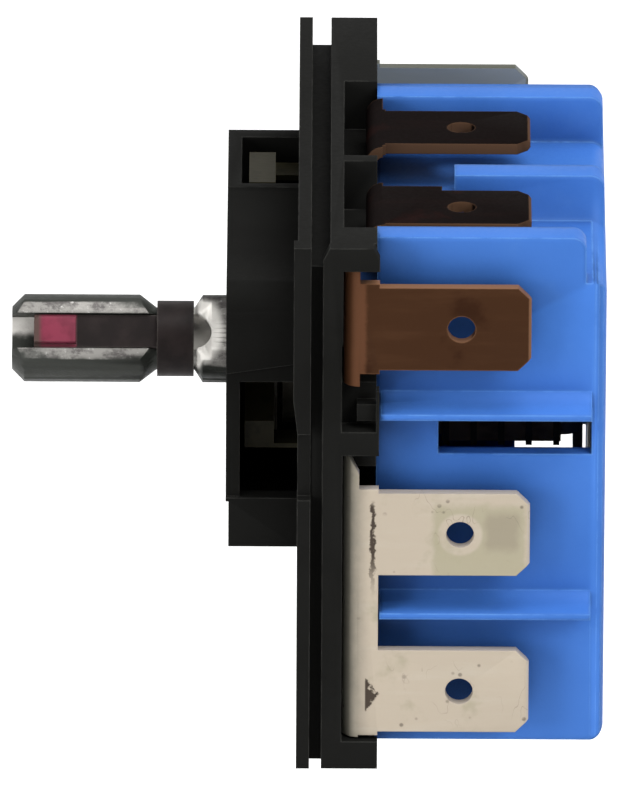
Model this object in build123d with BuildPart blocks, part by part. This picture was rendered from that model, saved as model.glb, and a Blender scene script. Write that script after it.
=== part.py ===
"""Infinite switch: a push-to-turn energy regulator with a slotted D shaft and a bimetal cycling contact."""

import math
import os

from build123d import *

os.makedirs("parts", exist_ok=True)

# X runs across the switch, Y from the panel to the rear, Z up.
# The origin is on the shaft axis, at the panel face.

# Fits between pieces
running_clearance = 0.06
press_clearance = 0.02
seat_clearance = 0.15
blade_clearance = 0.12
edge_gap = 0.2

# Panel plate of the front cover
plate_width = 44.8
plate_above_shaft = 16.2
plate_below_shaft = 24.2
plate_thickness = 0.95
edge_notch_depth = 0.9
edge_notch_height = 5.1
edge_notch_centre = -0.75
lug_thickness = 1.5
lug_rise = 0.3
lug_slope_height = 2.6
far_lug_top = 6.6

# Cam block of the front cover
block_width = 30.0
block_height = 20.0
block_depth = 5.15
block_wall = 1.4
block_front_wall = 1.0
block_edge_radius = 2.0
block_step_height = 3.5
block_step_depth = 0.2
side_opening_bottom = 6.2
side_opening_top = 2.7
side_recess_depth = 0.3
side_recess_top = 3.4
side_recess_slope = 0.8
top_pad_width = 11.1
top_pad_rise = 0.3
top_opening_width = 9.0

# Terminal carrier
groove_width = 1.35
groove_top = 1.75
groove_side = 1.0
groove_bottom = 0.35
carrier_thickness = 3.35
pad_overhang = 0.2
pad_front_reach = 0.5
pad_chamfer = 0.9
chamber_floor_thickness = 2.75

# Rear housing
housing_foot_inset = 1.0
housing_depth = 16.45
tab_air = 1.9
top_tab_air = 2.75
housing_wall = 1.3
housing_rear_wall = 0.95
fin_inset = 0.4
fin_thickness = 2.1
far_fin_centre = -8.97
middle_fin_shift = 0.39
middle_fin_step = 1.8
middle_fin_step_length = 5.55
side_fin_setback = 1.5
rib_reach = 2.85
rib_thickness = 0.45
rib_root = 0.7
rib_start = 0.3
clamp_inset = 5.0
pair_clamp_width = 0.55
rib_draft = 0.1
clamp_width = 3.4
clamp_height = 4.0
screw_z = -2.0
upper_rib_top = 3.24
lower_rib_top = -12.2
window_length = 11.0
window_rear_margin = 1.0
near_window_height = 3.6
far_window_length = 5.2
far_window_height = 4.5
far_window_centre = -16.25
corner_radius = 1.0

# Shaft and knob clip
shaft_radius = 3.175
shaft_tip = 20.7
shaft_chamfer = 0.9
shaft_land_end = 11.45
neck_front = 10.25
neck_rear = 7.5
neck_radius = 2.25
collar_front = 6.9
shaft_flat = 2.33
flat_end = 6.25
slot_width = 2.6
slot_floor = 0.9
drive_radius = 2.6
drive_flat = 1.9
tail_radius = 1.2
tail_length = 7.4
shaft_turn = 36.0
push_travel = 1.6
clip_thickness = 0.47
clip_gap_angle = 80.0
clip_edge = 0.3
pad_start = 19.1
clip_pad_length = 3.05
clip_pad_width = 1.9
clip_side_gap = 0.05
tongue_sink = 0.25
pad_height = 2.75

# Cam and follower
hub_radius = 4.3
cam_front_room = 1.05
switch_disc_room = 1.0
switch_disc_thickness = 1.6
lift_disc_thickness = 1.7
disc_spacing = 0.4
hub_rear_gap = 0.45
spring_wire = 0.4
spring_radius = 1.55
spring_end = 3.4
spring_turns = 3.5
nose_radius = 1.0
nose_gap = 0.2
pivot_side_inset = 3.4
pivot_floor_inset = 2.4
nose_rest_x = -6.2
nose_rest_z = 0.3
turn_range = 300.0
follower_swing = 20.0
lever_width = 1.6
lever_boss_radius = 1.5
crank_offset = 0.3
pin_seat = 1.2
lever_pin_radius = 0.7
peg_radius = 0.7
peg_reach = 1.2
ring_thickness = 0.5
ring_radius = 2.5
ring_bore = 0.85
ring_gap = 0.15

# Terminals
terminal_thickness = 0.8
bend_radius = 1.2
tab_width = 6.35
tab_tip = 16.7
tab_corner = 0.95
tab_hole_radius = 1.0
tab_hole_setback = 5.0
tab_bevel = 0.2
top_tab_inset = 0.35
tab_edge_inset = 0.5
side_leg_inset = 0.95
line_out_centre = -1.8
line_in_inset = 8.9
heater_inset = 6.4
pilot_inset = 6.6
pair_inset = 5.9
pair_spacing = 12.2
root_width = 8.9
leg_bottom = 8.0
line_leg_width = 4.6
side_leg_length = 7.7
pair_leg_length = 3.4
line_out_far_end = 5.6
line_out_near_end = 3.9
line_in_far_end = 4.6
line_in_near_end = 3.5
shoulder_end = 10.3
shoulder_width = 0.8
pair_strip_margin = 1.4
pair_foot_margin = 0.45
pilot_tongue = 3.4
latch_depth = 1.8
latch_height = 3.35
ledge_drop = 2.1
ledge_height = 1.3
ledge_length = 1.4
mouth_depth = 3.45
far_mouth_far_end = 8.1
far_mouth_near_end = 6.3
near_mouth_far_end = 7.9
near_mouth_near_end = 4.8
curl_length = 1.4

# Contacts, blades and rivets
blade_thickness = 0.3
line_blade_lift = 1.2
line_blade_width = 2.6
line_contact_height = 9.3
line_rivet_offset = 2.3
contact_radius = 1.3
contact_shank = 0.6
contact_head = 0.4
fixed_contact_head = 0.3
rivet_radius = 0.9
rivet_head_radius = 1.5
rivet_head = 0.35
snap_centre = 7.4
snap_width = 4.0
snap_lift = 2.35
snap_root_z = -3.6
snap_contact_z = 6.2
snap_contact_head = 0.6
snap_contact_gap = 0.55
snap_slot_length = 4.6
plunger_x = 3.2
plunger_z = 5.9
plunger_radius = 1.1
plunger_cam_gap = 0.7
pilot_wall_gap = 2.5
pilot_foot_z = -3.6
pilot_top_gap = 1.35
pilot_contact_inset = 0.9
pilot_front_room = 0.35
pilot_width = 2.1
pilot_bump = 3.1
pilot_bump_height = 1.7
pilot_contact_radius = 0.9
pilot_gap = 0.5
pilot_cam_gap = 0.4
foot_length = 2.3
link_thickness = 0.4
link_tab_width = 2.4
link_rear_inset = 1.6
link_lug_inset = 3.4
link_lug_length = 5.8
link_lug_sink = 0.4

# Bimetal and heater
bimetal_thickness = 0.7
bimetal_bottom = 4.15
bimetal_rivet_z = -1.6
bimetal_top = 1.0
bimetal_front = 8.2
bimetal_rear_gap = 0.55
bimetal_bend = 1.5
stop_tab_width = 4.0
stop_tab_length = 2.85
card_thickness = 0.35
card_start = 10.4
card_bend_gap = 0.1
card_margin = 0.1
winding_thickness = 0.22
winding_count = 5
bracket_thickness = 0.8
bracket_length = 4.5
bead_radius = 1.1
bead_z = -0.4
bead_gap = 0.05
ribbon_width = 0.45
bracket_low_top = -1.4
bracket_rivet_x = -10.9
bracket_rivet_z = -2.85
bracket_rivet_seat = 1.6
screw_sink = 0.15
screw_slot = 0.5
screw_radius = 2.0

# Fasteners
insert_inset = 3.7
insert_radius = 2.5
insert_thread_radius = 1.45
insert_length = 2.9
post_side_inset = 3.7
post_floor_inset = 2.8
post_radius = 1.2
post_head_radius = 2.1
post_head = 0.5
post_boss_radius = 2.3

# Places that follow from the sizes above
plate_height = plate_above_shaft + plate_below_shaft
plate_middle = (plate_above_shaft - plate_below_shaft) / 2
carrier_front = plate_thickness + groove_width
carrier_rear = carrier_front + carrier_thickness
web_front = carrier_rear - chamber_floor_thickness
housing_rear = carrier_rear + housing_depth
cavity_front = -(block_depth - block_front_wall)
cavity_width = block_width - 2 * block_wall
cavity_height = block_height - 2 * block_wall
half_width = plate_width / 2
top_reach = plate_above_shaft - top_tab_inset
side_reach = half_width - tab_edge_inset
half_housing = side_reach - terminal_thickness - tab_air
housing_width = 2 * half_housing
housing_top = top_reach - terminal_thickness - top_tab_air
housing_bottom = plate_below_shaft - housing_foot_inset
fin_top = plate_above_shaft - fin_inset
mouth_floor = top_reach - mouth_depth
line_in_centre = half_width - line_in_inset
line_rivet_x = line_in_centre - line_rivet_offset
middle_fin_centre = (line_out_centre + line_in_centre) / 2 + middle_fin_shift
far_mouth_low = line_out_centre - far_mouth_far_end
far_mouth_high = line_out_centre + far_mouth_near_end
near_mouth_low = line_in_centre - near_mouth_far_end
near_mouth_high = line_in_centre + near_mouth_near_end
heater_centre = plate_above_shaft - heater_inset
pilot_centre = plate_above_shaft - pilot_inset
pair_lower_centre = pair_inset - plate_below_shaft
pair_upper_centre = pair_lower_centre + pair_spacing
side_leg_inner = side_reach - side_leg_length
pair_leg_inner = side_reach - pair_leg_length
clamp_x = side_reach - clamp_inset
insert_x = half_width - insert_inset
post_x = half_housing - post_side_inset
post_z = post_floor_inset - housing_bottom
cam_front = -cavity_front - cam_front_room
pivot_x = pivot_side_inset - cavity_width / 2
pivot_z = pivot_floor_inset - cavity_height / 2
crank_x = pivot_x + crank_offset
link_z = cavity_height / 2 - seat_clearance - link_thickness / 2
link_rear_x = link_rear_inset - cavity_width / 2
block_top = block_height / 2 + top_pad_rise
link_lug_x = link_lug_inset - block_width / 2
link_lug_top = block_top - link_lug_sink
pilot_x = cavity_width / 2 - pilot_wall_gap
switch_disc_radius = min(cavity_height / 2 - switch_disc_room, pilot_x - pilot_bump - pilot_cam_gap)
pilot_top_z = link_z - pilot_top_gap
pilot_contact_z = pilot_top_z - pilot_contact_inset
pilot_front = -cavity_front - pilot_front_room
side_leg_front = carrier_front + side_leg_inset
side_leg_rear = side_leg_front + terminal_thickness
top_leg_front = carrier_rear - terminal_thickness
shaft_hole_radius = shaft_radius + running_clearance
hub_bore_radius = hub_radius + running_clearance
lift_disc_front = -cam_front + switch_disc_thickness + disc_spacing
lift_disc_rear = lift_disc_front + lift_disc_thickness
hub_rear = carrier_rear - hub_rear_gap
ring_front = hub_rear + ring_gap
swing = math.radians(follower_swing)
arm_x = nose_rest_x - pivot_x
arm_z = nose_rest_z - pivot_z
peg_far_x = pivot_x + arm_x * math.cos(swing) - arm_z * math.sin(swing)


def at_depth(depth):
    """Sketch plane that faces the panel at a depth behind it: X to the right, Z up."""
    return Plane.XZ.offset(-depth)


def lying_rivet(x, z, front, rear, radius, head_radius, head):
    """Round-headed rivet along Y from front to rear, its head at the rear end."""
    with BuildPart() as rivet:
        with BuildSketch(at_depth(rear)):
            with Locations((x, z)):
                Circle(radius)
        extrude(amount=rear - front)
        with BuildSketch(at_depth(rear)):
            with Locations((x, z)):
                Circle(head_radius)
        extrude(amount=-head, taper=12)
    return rivet


# Front cover: panel plate, cam block with its side and top openings, edge lugs
with BuildPart() as front_cover:
    with BuildSketch(at_depth(plate_thickness)):
        with Locations((0, plate_middle)):
            Rectangle(plate_width, plate_height)
        with Locations((half_width, edge_notch_centre), (-half_width, edge_notch_centre)):
            Rectangle(2 * edge_notch_depth, edge_notch_height, mode=Mode.SUBTRACT)
    extrude(amount=plate_thickness)
    with BuildSketch(at_depth(0)) as block_outline:
        Rectangle(block_width, block_height)
        fillet(block_outline.vertices().group_by(Axis.Y)[-1].sort_by(Axis.X)[-1], block_edge_radius)
        with Locations((-block_width / 2, 0)):
            Rectangle(top_pad_width, block_top, align=(Align.MIN, Align.MIN))
    extrude(amount=block_depth)
    with BuildSketch(at_depth(plate_thickness)):
        Rectangle(cavity_width, cavity_height)
    extrude(amount=plate_thickness - cavity_front, mode=Mode.SUBTRACT)
    with BuildSketch(at_depth(-block_depth)):
        Circle(shaft_hole_radius)
    extrude(amount=-block_front_wall, mode=Mode.SUBTRACT)
    with BuildSketch(at_depth(-block_depth)):
        with Locations((0, -block_height / 2)):
            Rectangle(block_width, block_step_height, align=(Align.CENTER, Align.MIN))
    extrude(amount=-block_step_depth, mode=Mode.SUBTRACT)
    # The near wall is thinner below a slanted line, and open behind the front wall
    with BuildSketch(Plane.YZ.offset(block_width / 2)):
        with BuildLine():
            Polyline(
                (-block_depth, -side_opening_bottom),
                (0, -side_opening_bottom),
                (0, side_recess_top + side_recess_slope),
                (-block_depth, side_recess_top),
                close=True,
            )
        make_face()
    extrude(amount=-side_recess_depth, mode=Mode.SUBTRACT)
    with BuildSketch(Plane.YZ.offset(block_width / 2)):
        with Locations((cavity_front, -side_opening_bottom)):
            Rectangle(-cavity_front, side_opening_bottom + side_opening_top, align=(Align.MIN, Align.MIN))
    extrude(amount=-block_wall, mode=Mode.SUBTRACT)
    with BuildSketch(Plane.XY.offset(block_top)):
        with Locations((-cavity_width / 2, cavity_front)):
            Rectangle(top_opening_width, -cavity_front, align=(Align.MIN, Align.MIN))
    extrude(amount=-(block_wall + top_pad_rise), mode=Mode.SUBTRACT)
    for outer, inward, lug_top in (
        (half_width, -lug_thickness, plate_above_shaft),
        (-half_width, lug_thickness, far_lug_top),
    ):
        with BuildSketch(Plane.YZ.offset(outer)):
            with BuildLine():
                Polyline(
                    (0, edge_notch_centre + edge_notch_height / 2),
                    (0, lug_top),
                    (-lug_rise, lug_top),
                    (-lug_rise, edge_notch_centre + edge_notch_height / 2 + lug_slope_height),
                    close=True,
                )
            make_face()
        extrude(amount=inward)
    with BuildSketch(at_depth(plate_thickness)):
        with Locations((-insert_x, 0), (insert_x, 0)):
            Circle(insert_radius + press_clearance)
        with Locations((-post_x, post_z), (post_x, post_z)):
            Circle(post_radius + press_clearance)
    extrude(amount=plate_thickness, mode=Mode.SUBTRACT)
    with BuildSketch(at_depth(post_head)):
        with Locations((-post_x, post_z), (post_x, post_z)):
            Circle(post_head_radius + press_clearance)
    extrude(amount=post_head, mode=Mode.SUBTRACT)
front_cover.part.label = "front_cover"
export_step(front_cover.part, "parts/front_cover.step")

# Places shared by the terminals and their pockets
heater_low = heater_centre - root_width / 2
heater_high = heater_centre + root_width / 2
pilot_low = pilot_centre - root_width / 2
pilot_high = pilot_centre + root_width / 2
pair_high = pair_upper_centre + tab_width / 2 + pair_strip_margin
pair_low = pair_lower_centre - tab_width / 2 - pair_foot_margin
tongue_inner = snap_centre - contact_radius - edge_gap
tongue_low = snap_contact_z - contact_radius
tongue_high = snap_contact_z + contact_radius
pair_tongue_low = snap_root_z - snap_width / 2
pair_tongue_high = snap_root_z + snap_width / 2
line_out_leg = (line_out_centre - line_leg_width / 2, line_out_centre + line_leg_width / 2)
line_in_leg = (line_rivet_x - line_leg_width / 2, line_rivet_x + line_leg_width / 2)
line_out_far = line_out_centre - line_out_far_end
line_out_near = line_out_centre + line_out_near_end
line_in_far = line_in_centre - line_in_far_end
line_in_near = line_in_centre + line_in_near_end
bend_start = top_reach - bend_radius
side_bend_start = side_reach - bend_radius

# Terminal carrier: plate with a near edge pad, skirt inside the groove, cam chamber and leg pockets
with BuildPart() as terminal_carrier:
    with BuildSketch(at_depth(carrier_rear)):
        with Locations((-half_width, plate_middle)):
            Rectangle(plate_width - groove_side, plate_height, align=(Align.MIN, Align.CENTER))
    extrude(amount=carrier_thickness)
    with BuildSketch(Plane.YZ.offset(half_width)):
        with BuildLine():
            Polyline(
                (carrier_front - pad_front_reach, -plate_below_shaft),
                (carrier_rear + pad_overhang, -plate_below_shaft),
                (carrier_rear + pad_overhang, plate_above_shaft - pad_chamfer),
                (carrier_rear + pad_overhang - pad_chamfer / 2, plate_above_shaft),
                (carrier_front - pad_front_reach + pad_chamfer / 2, plate_above_shaft),
                (carrier_front - pad_front_reach, plate_above_shaft - pad_chamfer),
                close=True,
            )
        make_face()
    extrude(amount=-groove_side)
    with BuildSketch(at_depth(carrier_front)):
        with Locations((0, plate_above_shaft - groove_top)):
            Rectangle(
                plate_width - 2 * groove_side,
                plate_height - groove_top - groove_bottom,
                align=(Align.CENTER, Align.MAX),
            )
    extrude(amount=groove_width)
    with BuildSketch(at_depth(web_front)):
        Rectangle(cavity_width, cavity_height)
    extrude(amount=web_front - plate_thickness, mode=Mode.SUBTRACT)
    # Holes right through the web: hub bearing, plunger, pilot spring foot, follower slot, link, posts
    with BuildSketch(at_depth(carrier_rear)):
        Circle(hub_bore_radius)
        with Locations((plunger_x, plunger_z)):
            Circle(plunger_radius + running_clearance)
        with Locations((pilot_x - foot_length / 2, pilot_foot_z)):
            Rectangle(foot_length + 1, blade_thickness + 0.8)
        with Locations(((nose_rest_x + peg_far_x) / 2, nose_rest_z + 0.5)):
            Rectangle(nose_rest_x - peg_far_x + 2 * peg_radius + 0.6, 2 * peg_radius + 1.8)
        with Locations((link_rear_x, link_z)):
            Rectangle(link_tab_width + 0.3, link_thickness + 0.3)
        with Locations((-post_x, post_z), (post_x, post_z)):
            Circle(post_radius + press_clearance)
    extrude(amount=carrier_rear - plate_thickness, mode=Mode.SUBTRACT)
    with BuildSketch(at_depth(insert_length)):
        with Locations((-insert_x, 0), (insert_x, 0)):
            Circle(insert_radius + press_clearance)
    extrude(amount=insert_length - plate_thickness, mode=Mode.SUBTRACT)
    # Pockets for the side legs, open to the rear and to the side
    with BuildSketch(at_depth(carrier_rear + pad_overhang)):
        for low, high, inner in (
            (heater_low, heater_high, side_leg_inner),
            (pair_low, pair_high, pair_leg_inner),
        ):
            with Locations((inner - seat_clearance, (low + high) / 2)):
                Rectangle(half_width, high - low + 2 * seat_clearance, align=(Align.MIN, Align.CENTER))
        for low, high in ((tongue_low, tongue_high), (pair_tongue_low, pair_tongue_high)):
            with Locations((tongue_inner - seat_clearance, (low + high) / 2)):
                Rectangle(
                    pair_leg_inner - tongue_inner,
                    high - low + 2 * seat_clearance,
                    align=(Align.MIN, Align.CENTER),
                )
        with Locations((-side_leg_inner + seat_clearance, (pilot_low + pilot_high) / 2)):
            Rectangle(half_width, root_width + 2 * seat_clearance, align=(Align.MAX, Align.CENTER))
        with Locations((-side_leg_inner + seat_clearance, link_z)):
            Rectangle(pilot_tongue + 2 * seat_clearance, 2 * contact_radius, align=(Align.MIN, Align.CENTER))
    extrude(amount=carrier_rear + pad_overhang - side_leg_front, mode=Mode.SUBTRACT)
    # Room for the curled end of the twin terminal
    with BuildSketch(at_depth(carrier_rear + pad_overhang)):
        with Locations((side_bend_start - seat_clearance, pair_high)):
            Rectangle(half_width, curl_length + 2 * seat_clearance, align=(Align.MIN, Align.MIN))
    extrude(amount=carrier_rear + pad_overhang - side_leg_front, mode=Mode.SUBTRACT)
    # Boss and seat of the follower's pin, seat of the bracket's rivet
    with BuildSketch(at_depth(web_front)):
        with Locations((pivot_x, pivot_z)):
            Circle(lever_boss_radius)
    extrude(amount=web_front - lift_disc_rear - blade_clearance)
    with BuildSketch(at_depth(web_front + pin_seat)):
        with Locations((pivot_x, pivot_z)):
            Circle(lever_pin_radius + press_clearance)
    extrude(amount=web_front + pin_seat, mode=Mode.SUBTRACT)
    with BuildSketch(at_depth(carrier_rear)):
        with Locations((bracket_rivet_x, bracket_rivet_z)):
            Circle(rivet_radius + press_clearance)
    extrude(amount=bracket_rivet_seat, mode=Mode.SUBTRACT)
    # Latch windows below the upper side terminals, each with its ledge
    for outward, leg_low in ((-1, pilot_low), (1, heater_low)):
        with BuildSketch(at_depth(carrier_rear)):
            with Locations((outward * half_width, leg_low)):
                Rectangle(2 * latch_depth, 2 * latch_height)
        extrude(amount=carrier_rear - side_leg_front + 0.1, mode=Mode.SUBTRACT)
        with BuildSketch(at_depth(carrier_rear)):
            with Locations((outward * (half_width - latch_depth / 2 - 0.4), leg_low - ledge_drop)):
                Rectangle(latch_depth - 0.6, ledge_height)
        extrude(amount=ledge_length)
    # Pockets for the two top legs, open to the rear, and the wide mouths in the top face
    with BuildSketch(at_depth(carrier_rear)):
        for low, high in (line_out_leg, line_in_leg):
            with Locations(((low + high) / 2, leg_bottom - seat_clearance)):
                Rectangle(
                    high - low + 2 * seat_clearance,
                    plate_above_shaft,
                    align=(Align.CENTER, Align.MIN),
                )
    extrude(amount=terminal_thickness, mode=Mode.SUBTRACT)
    with BuildSketch(at_depth(carrier_rear)):
        for low, high in ((far_mouth_low, far_mouth_high), (near_mouth_low, near_mouth_high)):
            with Locations(((low + high) / 2, mouth_floor)):
                Rectangle(high - low, plate_above_shaft, align=(Align.CENTER, Align.MIN))
    extrude(amount=carrier_rear - side_leg_front, mode=Mode.SUBTRACT)
terminal_carrier.part.label = "terminal_carrier"
export_step(terminal_carrier.part, "parts/terminal_carrier.step")

# Rear housing: hollow box with three fins on top, ribs on its sides, windows and the screw bore
clamps = (
    (clamp_x, heater_centre, clamp_width),
    (-clamp_x, pilot_centre, clamp_width),
    (half_housing - pair_clamp_width / 2, (pair_upper_centre + pair_lower_centre) / 2, pair_clamp_width),
)
with BuildPart() as rear_housing:
    with BuildSketch(at_depth(carrier_rear)):
        with Locations((0, (housing_top - housing_bottom) / 2)):
            Rectangle(housing_width, housing_top + housing_bottom)
    extrude(amount=-housing_depth)
    fillet(rear_housing.faces().sort_by(Axis.Y)[-1].edges(), corner_radius)
    for centre in (far_fin_centre, middle_fin_centre, half_housing - fin_thickness / 2):
        with BuildSketch(Plane.YZ.offset(centre - fin_thickness / 2)):
            rear = housing_rear - 0.1
            if centre > half_housing - fin_thickness:
                rear = housing_rear - side_fin_setback
            with BuildLine():
                Polyline(
                    (carrier_rear, housing_top - housing_wall),
                    (carrier_rear, fin_top),
                    (rear - corner_radius, fin_top),
                )
                RadiusArc((rear - corner_radius, fin_top), (rear, fin_top - corner_radius), corner_radius)
                Polyline(
                    (rear, fin_top - corner_radius),
                    (rear, housing_top - housing_wall),
                    (carrier_rear, housing_top - housing_wall),
                )
            make_face()
        extrude(amount=fin_thickness)
    # The middle fin is lower at its front end
    with BuildSketch(Plane.YZ.offset(middle_fin_centre - fin_thickness / 2)):
        with Locations((carrier_rear, fin_top)):
            Rectangle(middle_fin_step_length, middle_fin_step, align=(Align.MIN, Align.MAX))
    extrude(amount=fin_thickness, mode=Mode.SUBTRACT)
    # Ribs between the side tabs, thick at the root
    for outward, tops in ((1, (upper_rib_top, lower_rib_top)), (-1, (upper_rib_top,))):
        for top in tops:
            with BuildSketch(at_depth(carrier_rear + rib_start)):
                with BuildLine():
                    root = outward * (half_housing - housing_wall / 2)
                    face = outward * half_housing
                    edge = outward * (half_housing + rib_reach)
                    Polyline(
                        (root, top - rib_thickness - rib_draft),
                        (face, top - rib_thickness - rib_draft),
                        (edge, top - rib_thickness),
                        (edge, top),
                        (face + outward * rib_root, top),
                        (face, top + rib_root),
                        (root, top + rib_root),
                        close=True,
                    )
                make_face()
            extrude(amount=-(housing_depth - rib_start - corner_radius))
    # Inside
    with BuildSketch(at_depth(carrier_rear)):
        with Locations((0, (housing_top - housing_bottom) / 2)):
            Rectangle(housing_width - 2 * housing_wall, housing_top + housing_bottom - 2 * housing_wall)
    extrude(amount=-(housing_depth - housing_rear_wall), mode=Mode.SUBTRACT)
    # Windows on the near and the far side
    with BuildSketch(Plane.YZ.offset(half_housing - housing_wall)):
        with Locations((housing_rear - window_rear_margin, upper_rib_top - rib_thickness - rib_draft)):
            Rectangle(window_length, near_window_height, align=(Align.MAX, Align.MAX))
    extrude(amount=housing_wall, mode=Mode.SUBTRACT)
    with BuildSketch(Plane.YZ.offset(-half_housing)):
        with Locations((housing_rear - window_rear_margin, far_window_centre)):
            Rectangle(far_window_length, far_window_height, align=(Align.MAX, Align.CENTER))
    extrude(amount=housing_wall, mode=Mode.SUBTRACT)
    # Screw boss in the rear wall and the two post bosses
    with BuildSketch(at_depth(housing_rear)):
        with Locations((0, screw_z)):
            Circle(screw_radius + press_clearance)
    extrude(amount=housing_rear_wall, mode=Mode.SUBTRACT)
    with BuildSketch(at_depth(carrier_rear)):
        with Locations((-post_x, post_z), (post_x, post_z)):
            Circle(post_boss_radius)
    extrude(amount=-(housing_depth - housing_rear_wall / 2))
    with BuildSketch(at_depth(carrier_rear)):
        with Locations((-post_x, post_z), (post_x, post_z)):
            Circle(post_radius + press_clearance)
    extrude(amount=-housing_depth, mode=Mode.SUBTRACT)
    with BuildSketch(at_depth(housing_rear)):
        with Locations((-post_x, post_z), (post_x, post_z)):
            Circle(post_head_radius + press_clearance)
    extrude(amount=post_head, mode=Mode.SUBTRACT)
    # Clamping pads that press the deeper side legs into their pockets
    with BuildSketch(at_depth(carrier_rear)):
        for x, z, width in clamps:
            with Locations((x, z)):
                Rectangle(width, clamp_height)
    extrude(amount=carrier_rear - side_leg_rear)
    with BuildSketch(at_depth(carrier_rear)):
        for x, z, width in clamps:
            with Locations((math.copysign(half_housing - housing_wall / 2, x), z)):
                Rectangle(housing_wall, clamp_height)
    extrude(amount=-2)
rear_housing.part.label = "rear_housing"
export_step(rear_housing.part, "parts/rear_housing.step")


def bent_terminal(across, outward, reach, leg_front, root, leg_outlines, tabs, leg_holes=(), shoulders=()):
    """Blade terminal folded from strip: a leg that faces the panel, a bend, and tabs that point to the rear.

    across and outward are the strip's own directions, reach is how far the outer face of the tabs lies
    from the shaft axis, root gives the ends of the bend, leg_outlines are closed outlines and leg_holes
    are centres with radii, both measured across and outward.
    """
    leg_rear = leg_front + terminal_thickness
    leg_plane = Plane(origin=(0, leg_rear, 0), x_dir=across, z_dir=(0, -1, 0))
    tab_plane = Plane(origin=outward * (reach - terminal_thickness), x_dir=across, z_dir=outward)
    first, last = root
    start = leg_front + bend_radius
    tip = tab_tip
    with BuildPart() as terminal:
        with BuildSketch(leg_plane):
            for outline in leg_outlines:
                with BuildLine():
                    Polyline(*outline, close=True)
                make_face()
            for hole_x, hole_y, hole_radius in leg_holes:
                with Locations((hole_x, hole_y)):
                    Circle(hole_radius, mode=Mode.SUBTRACT)
        extrude(amount=terminal_thickness)
        with BuildSketch(Plane(origin=across * first, x_dir=(0, 1, 0), z_dir=across)):
            centre = (start, reach - bend_radius)
            inner = bend_radius - terminal_thickness
            with BuildLine():
                CenterArc(centre, bend_radius, 90, 90)
                Line((start - bend_radius, centre[1]), (start - inner, centre[1]))
                CenterArc(centre, inner, 90, 90)
                Line((start, centre[1] + inner), (start, reach))
            make_face()
        extrude(amount=last - first)
        with BuildSketch(tab_plane):
            flat_low, flat_high = min(tabs) - tab_width / 2 - 0.3, max(tabs) + tab_width / 2 + 0.3
            with Locations(((flat_low + flat_high) / 2, start)):
                Rectangle(flat_high - flat_low, carrier_rear + 0.2 - start, align=(Align.CENTER, Align.MIN))
            for middle in tabs:
                left = middle - tab_width / 2
                right = middle + tab_width / 2
                with BuildLine():
                    Polyline(
                        (left, start),
                        (right, start),
                        (right, tip - tab_corner),
                        (right - tab_corner, tip),
                        (left + tab_corner, tip),
                        (left, tip - tab_corner),
                        close=True,
                    )
                make_face()
                with Locations((middle, tip - tab_hole_setback)):
                    Circle(tab_hole_radius, mode=Mode.SUBTRACT)
            for low, high, end in shoulders:
                with Locations(((low + high) / 2, start)):
                    Rectangle(high - low, end - start, align=(Align.CENTER, Align.MIN))
        extrude(amount=terminal_thickness)
        tip_edges = terminal.faces().filter_by(Axis.Y).sort_by(Axis.Y)[-len(tabs):]
        bevels = [e for face in tip_edges for e in face.edges() if e.length > tab_width / 2]
        chamfer(bevels, tab_bevel)
    return terminal


up = Vector(0, 0, 1)
right_hand = Vector(1, 0, 0)
shank_hole = rivet_radius + press_clearance

# Top terminals: line out is the far one, line in the near one
terminal_line_out = bent_terminal(
    right_hand,
    up,
    top_reach,
    top_leg_front,
    (line_out_far, line_out_near),
    [
        [
            (line_out_leg[0], leg_bottom),
            (line_out_leg[1], leg_bottom),
            (line_out_leg[1], mouth_floor + edge_gap),
            (line_out_near, mouth_floor + edge_gap),
            (line_out_near, bend_start),
            (line_out_far, bend_start),
            (line_out_far, mouth_floor + edge_gap),
            (line_out_leg[0], mouth_floor + edge_gap),
        ]
    ],
    [line_out_centre],
    [(line_out_centre, line_contact_height, contact_shank + press_clearance)],
)
terminal_line_out.part.label = "terminal_line_out"
export_step(terminal_line_out.part, "parts/terminal_line_out.step")

terminal_line_in = bent_terminal(
    right_hand,
    up,
    top_reach,
    top_leg_front,
    (line_in_far, line_in_near),
    [
        [
            (line_in_leg[0], leg_bottom),
            (line_in_leg[1], leg_bottom),
            (line_in_leg[1], bend_start - contact_shank),
            (line_in_near, bend_start - contact_shank),
            (line_in_near, bend_start),
            (line_in_leg[0], bend_start),
        ]
    ],
    [line_in_centre],
    [(line_rivet_x, line_contact_height, shank_hole)],
    [(line_in_centre - tab_width / 2 - shoulder_width, line_in_centre, shoulder_end)],
)
terminal_line_in.part.label = "terminal_line_in"
export_step(terminal_line_in.part, "parts/terminal_line_in.step")

# Side terminals: across points down on the near side and up on the far side
down = Vector(0, 0, -1)
near = Vector(1, 0, 0)
far = Vector(-1, 0, 0)
terminal_heater = bent_terminal(
    down,
    near,
    side_reach,
    side_leg_front,
    (-heater_high, -heater_low),
    [
        [
            (-heater_high, side_leg_inner),
            (-heater_low, side_leg_inner),
            (-heater_low, side_bend_start),
            (-heater_high, side_bend_start),
        ],
        [
            (-tongue_high, tongue_inner),
            (-tongue_low, tongue_inner),
            (-tongue_low, side_leg_inner + 0.1),
            (-tongue_high, side_leg_inner + 0.1),
        ],
    ],
    [-heater_centre],
    [(-snap_contact_z, snap_centre, contact_shank + press_clearance)],
)
terminal_heater.part.label = "terminal_heater"
export_step(terminal_heater.part, "parts/terminal_heater.step")

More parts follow.
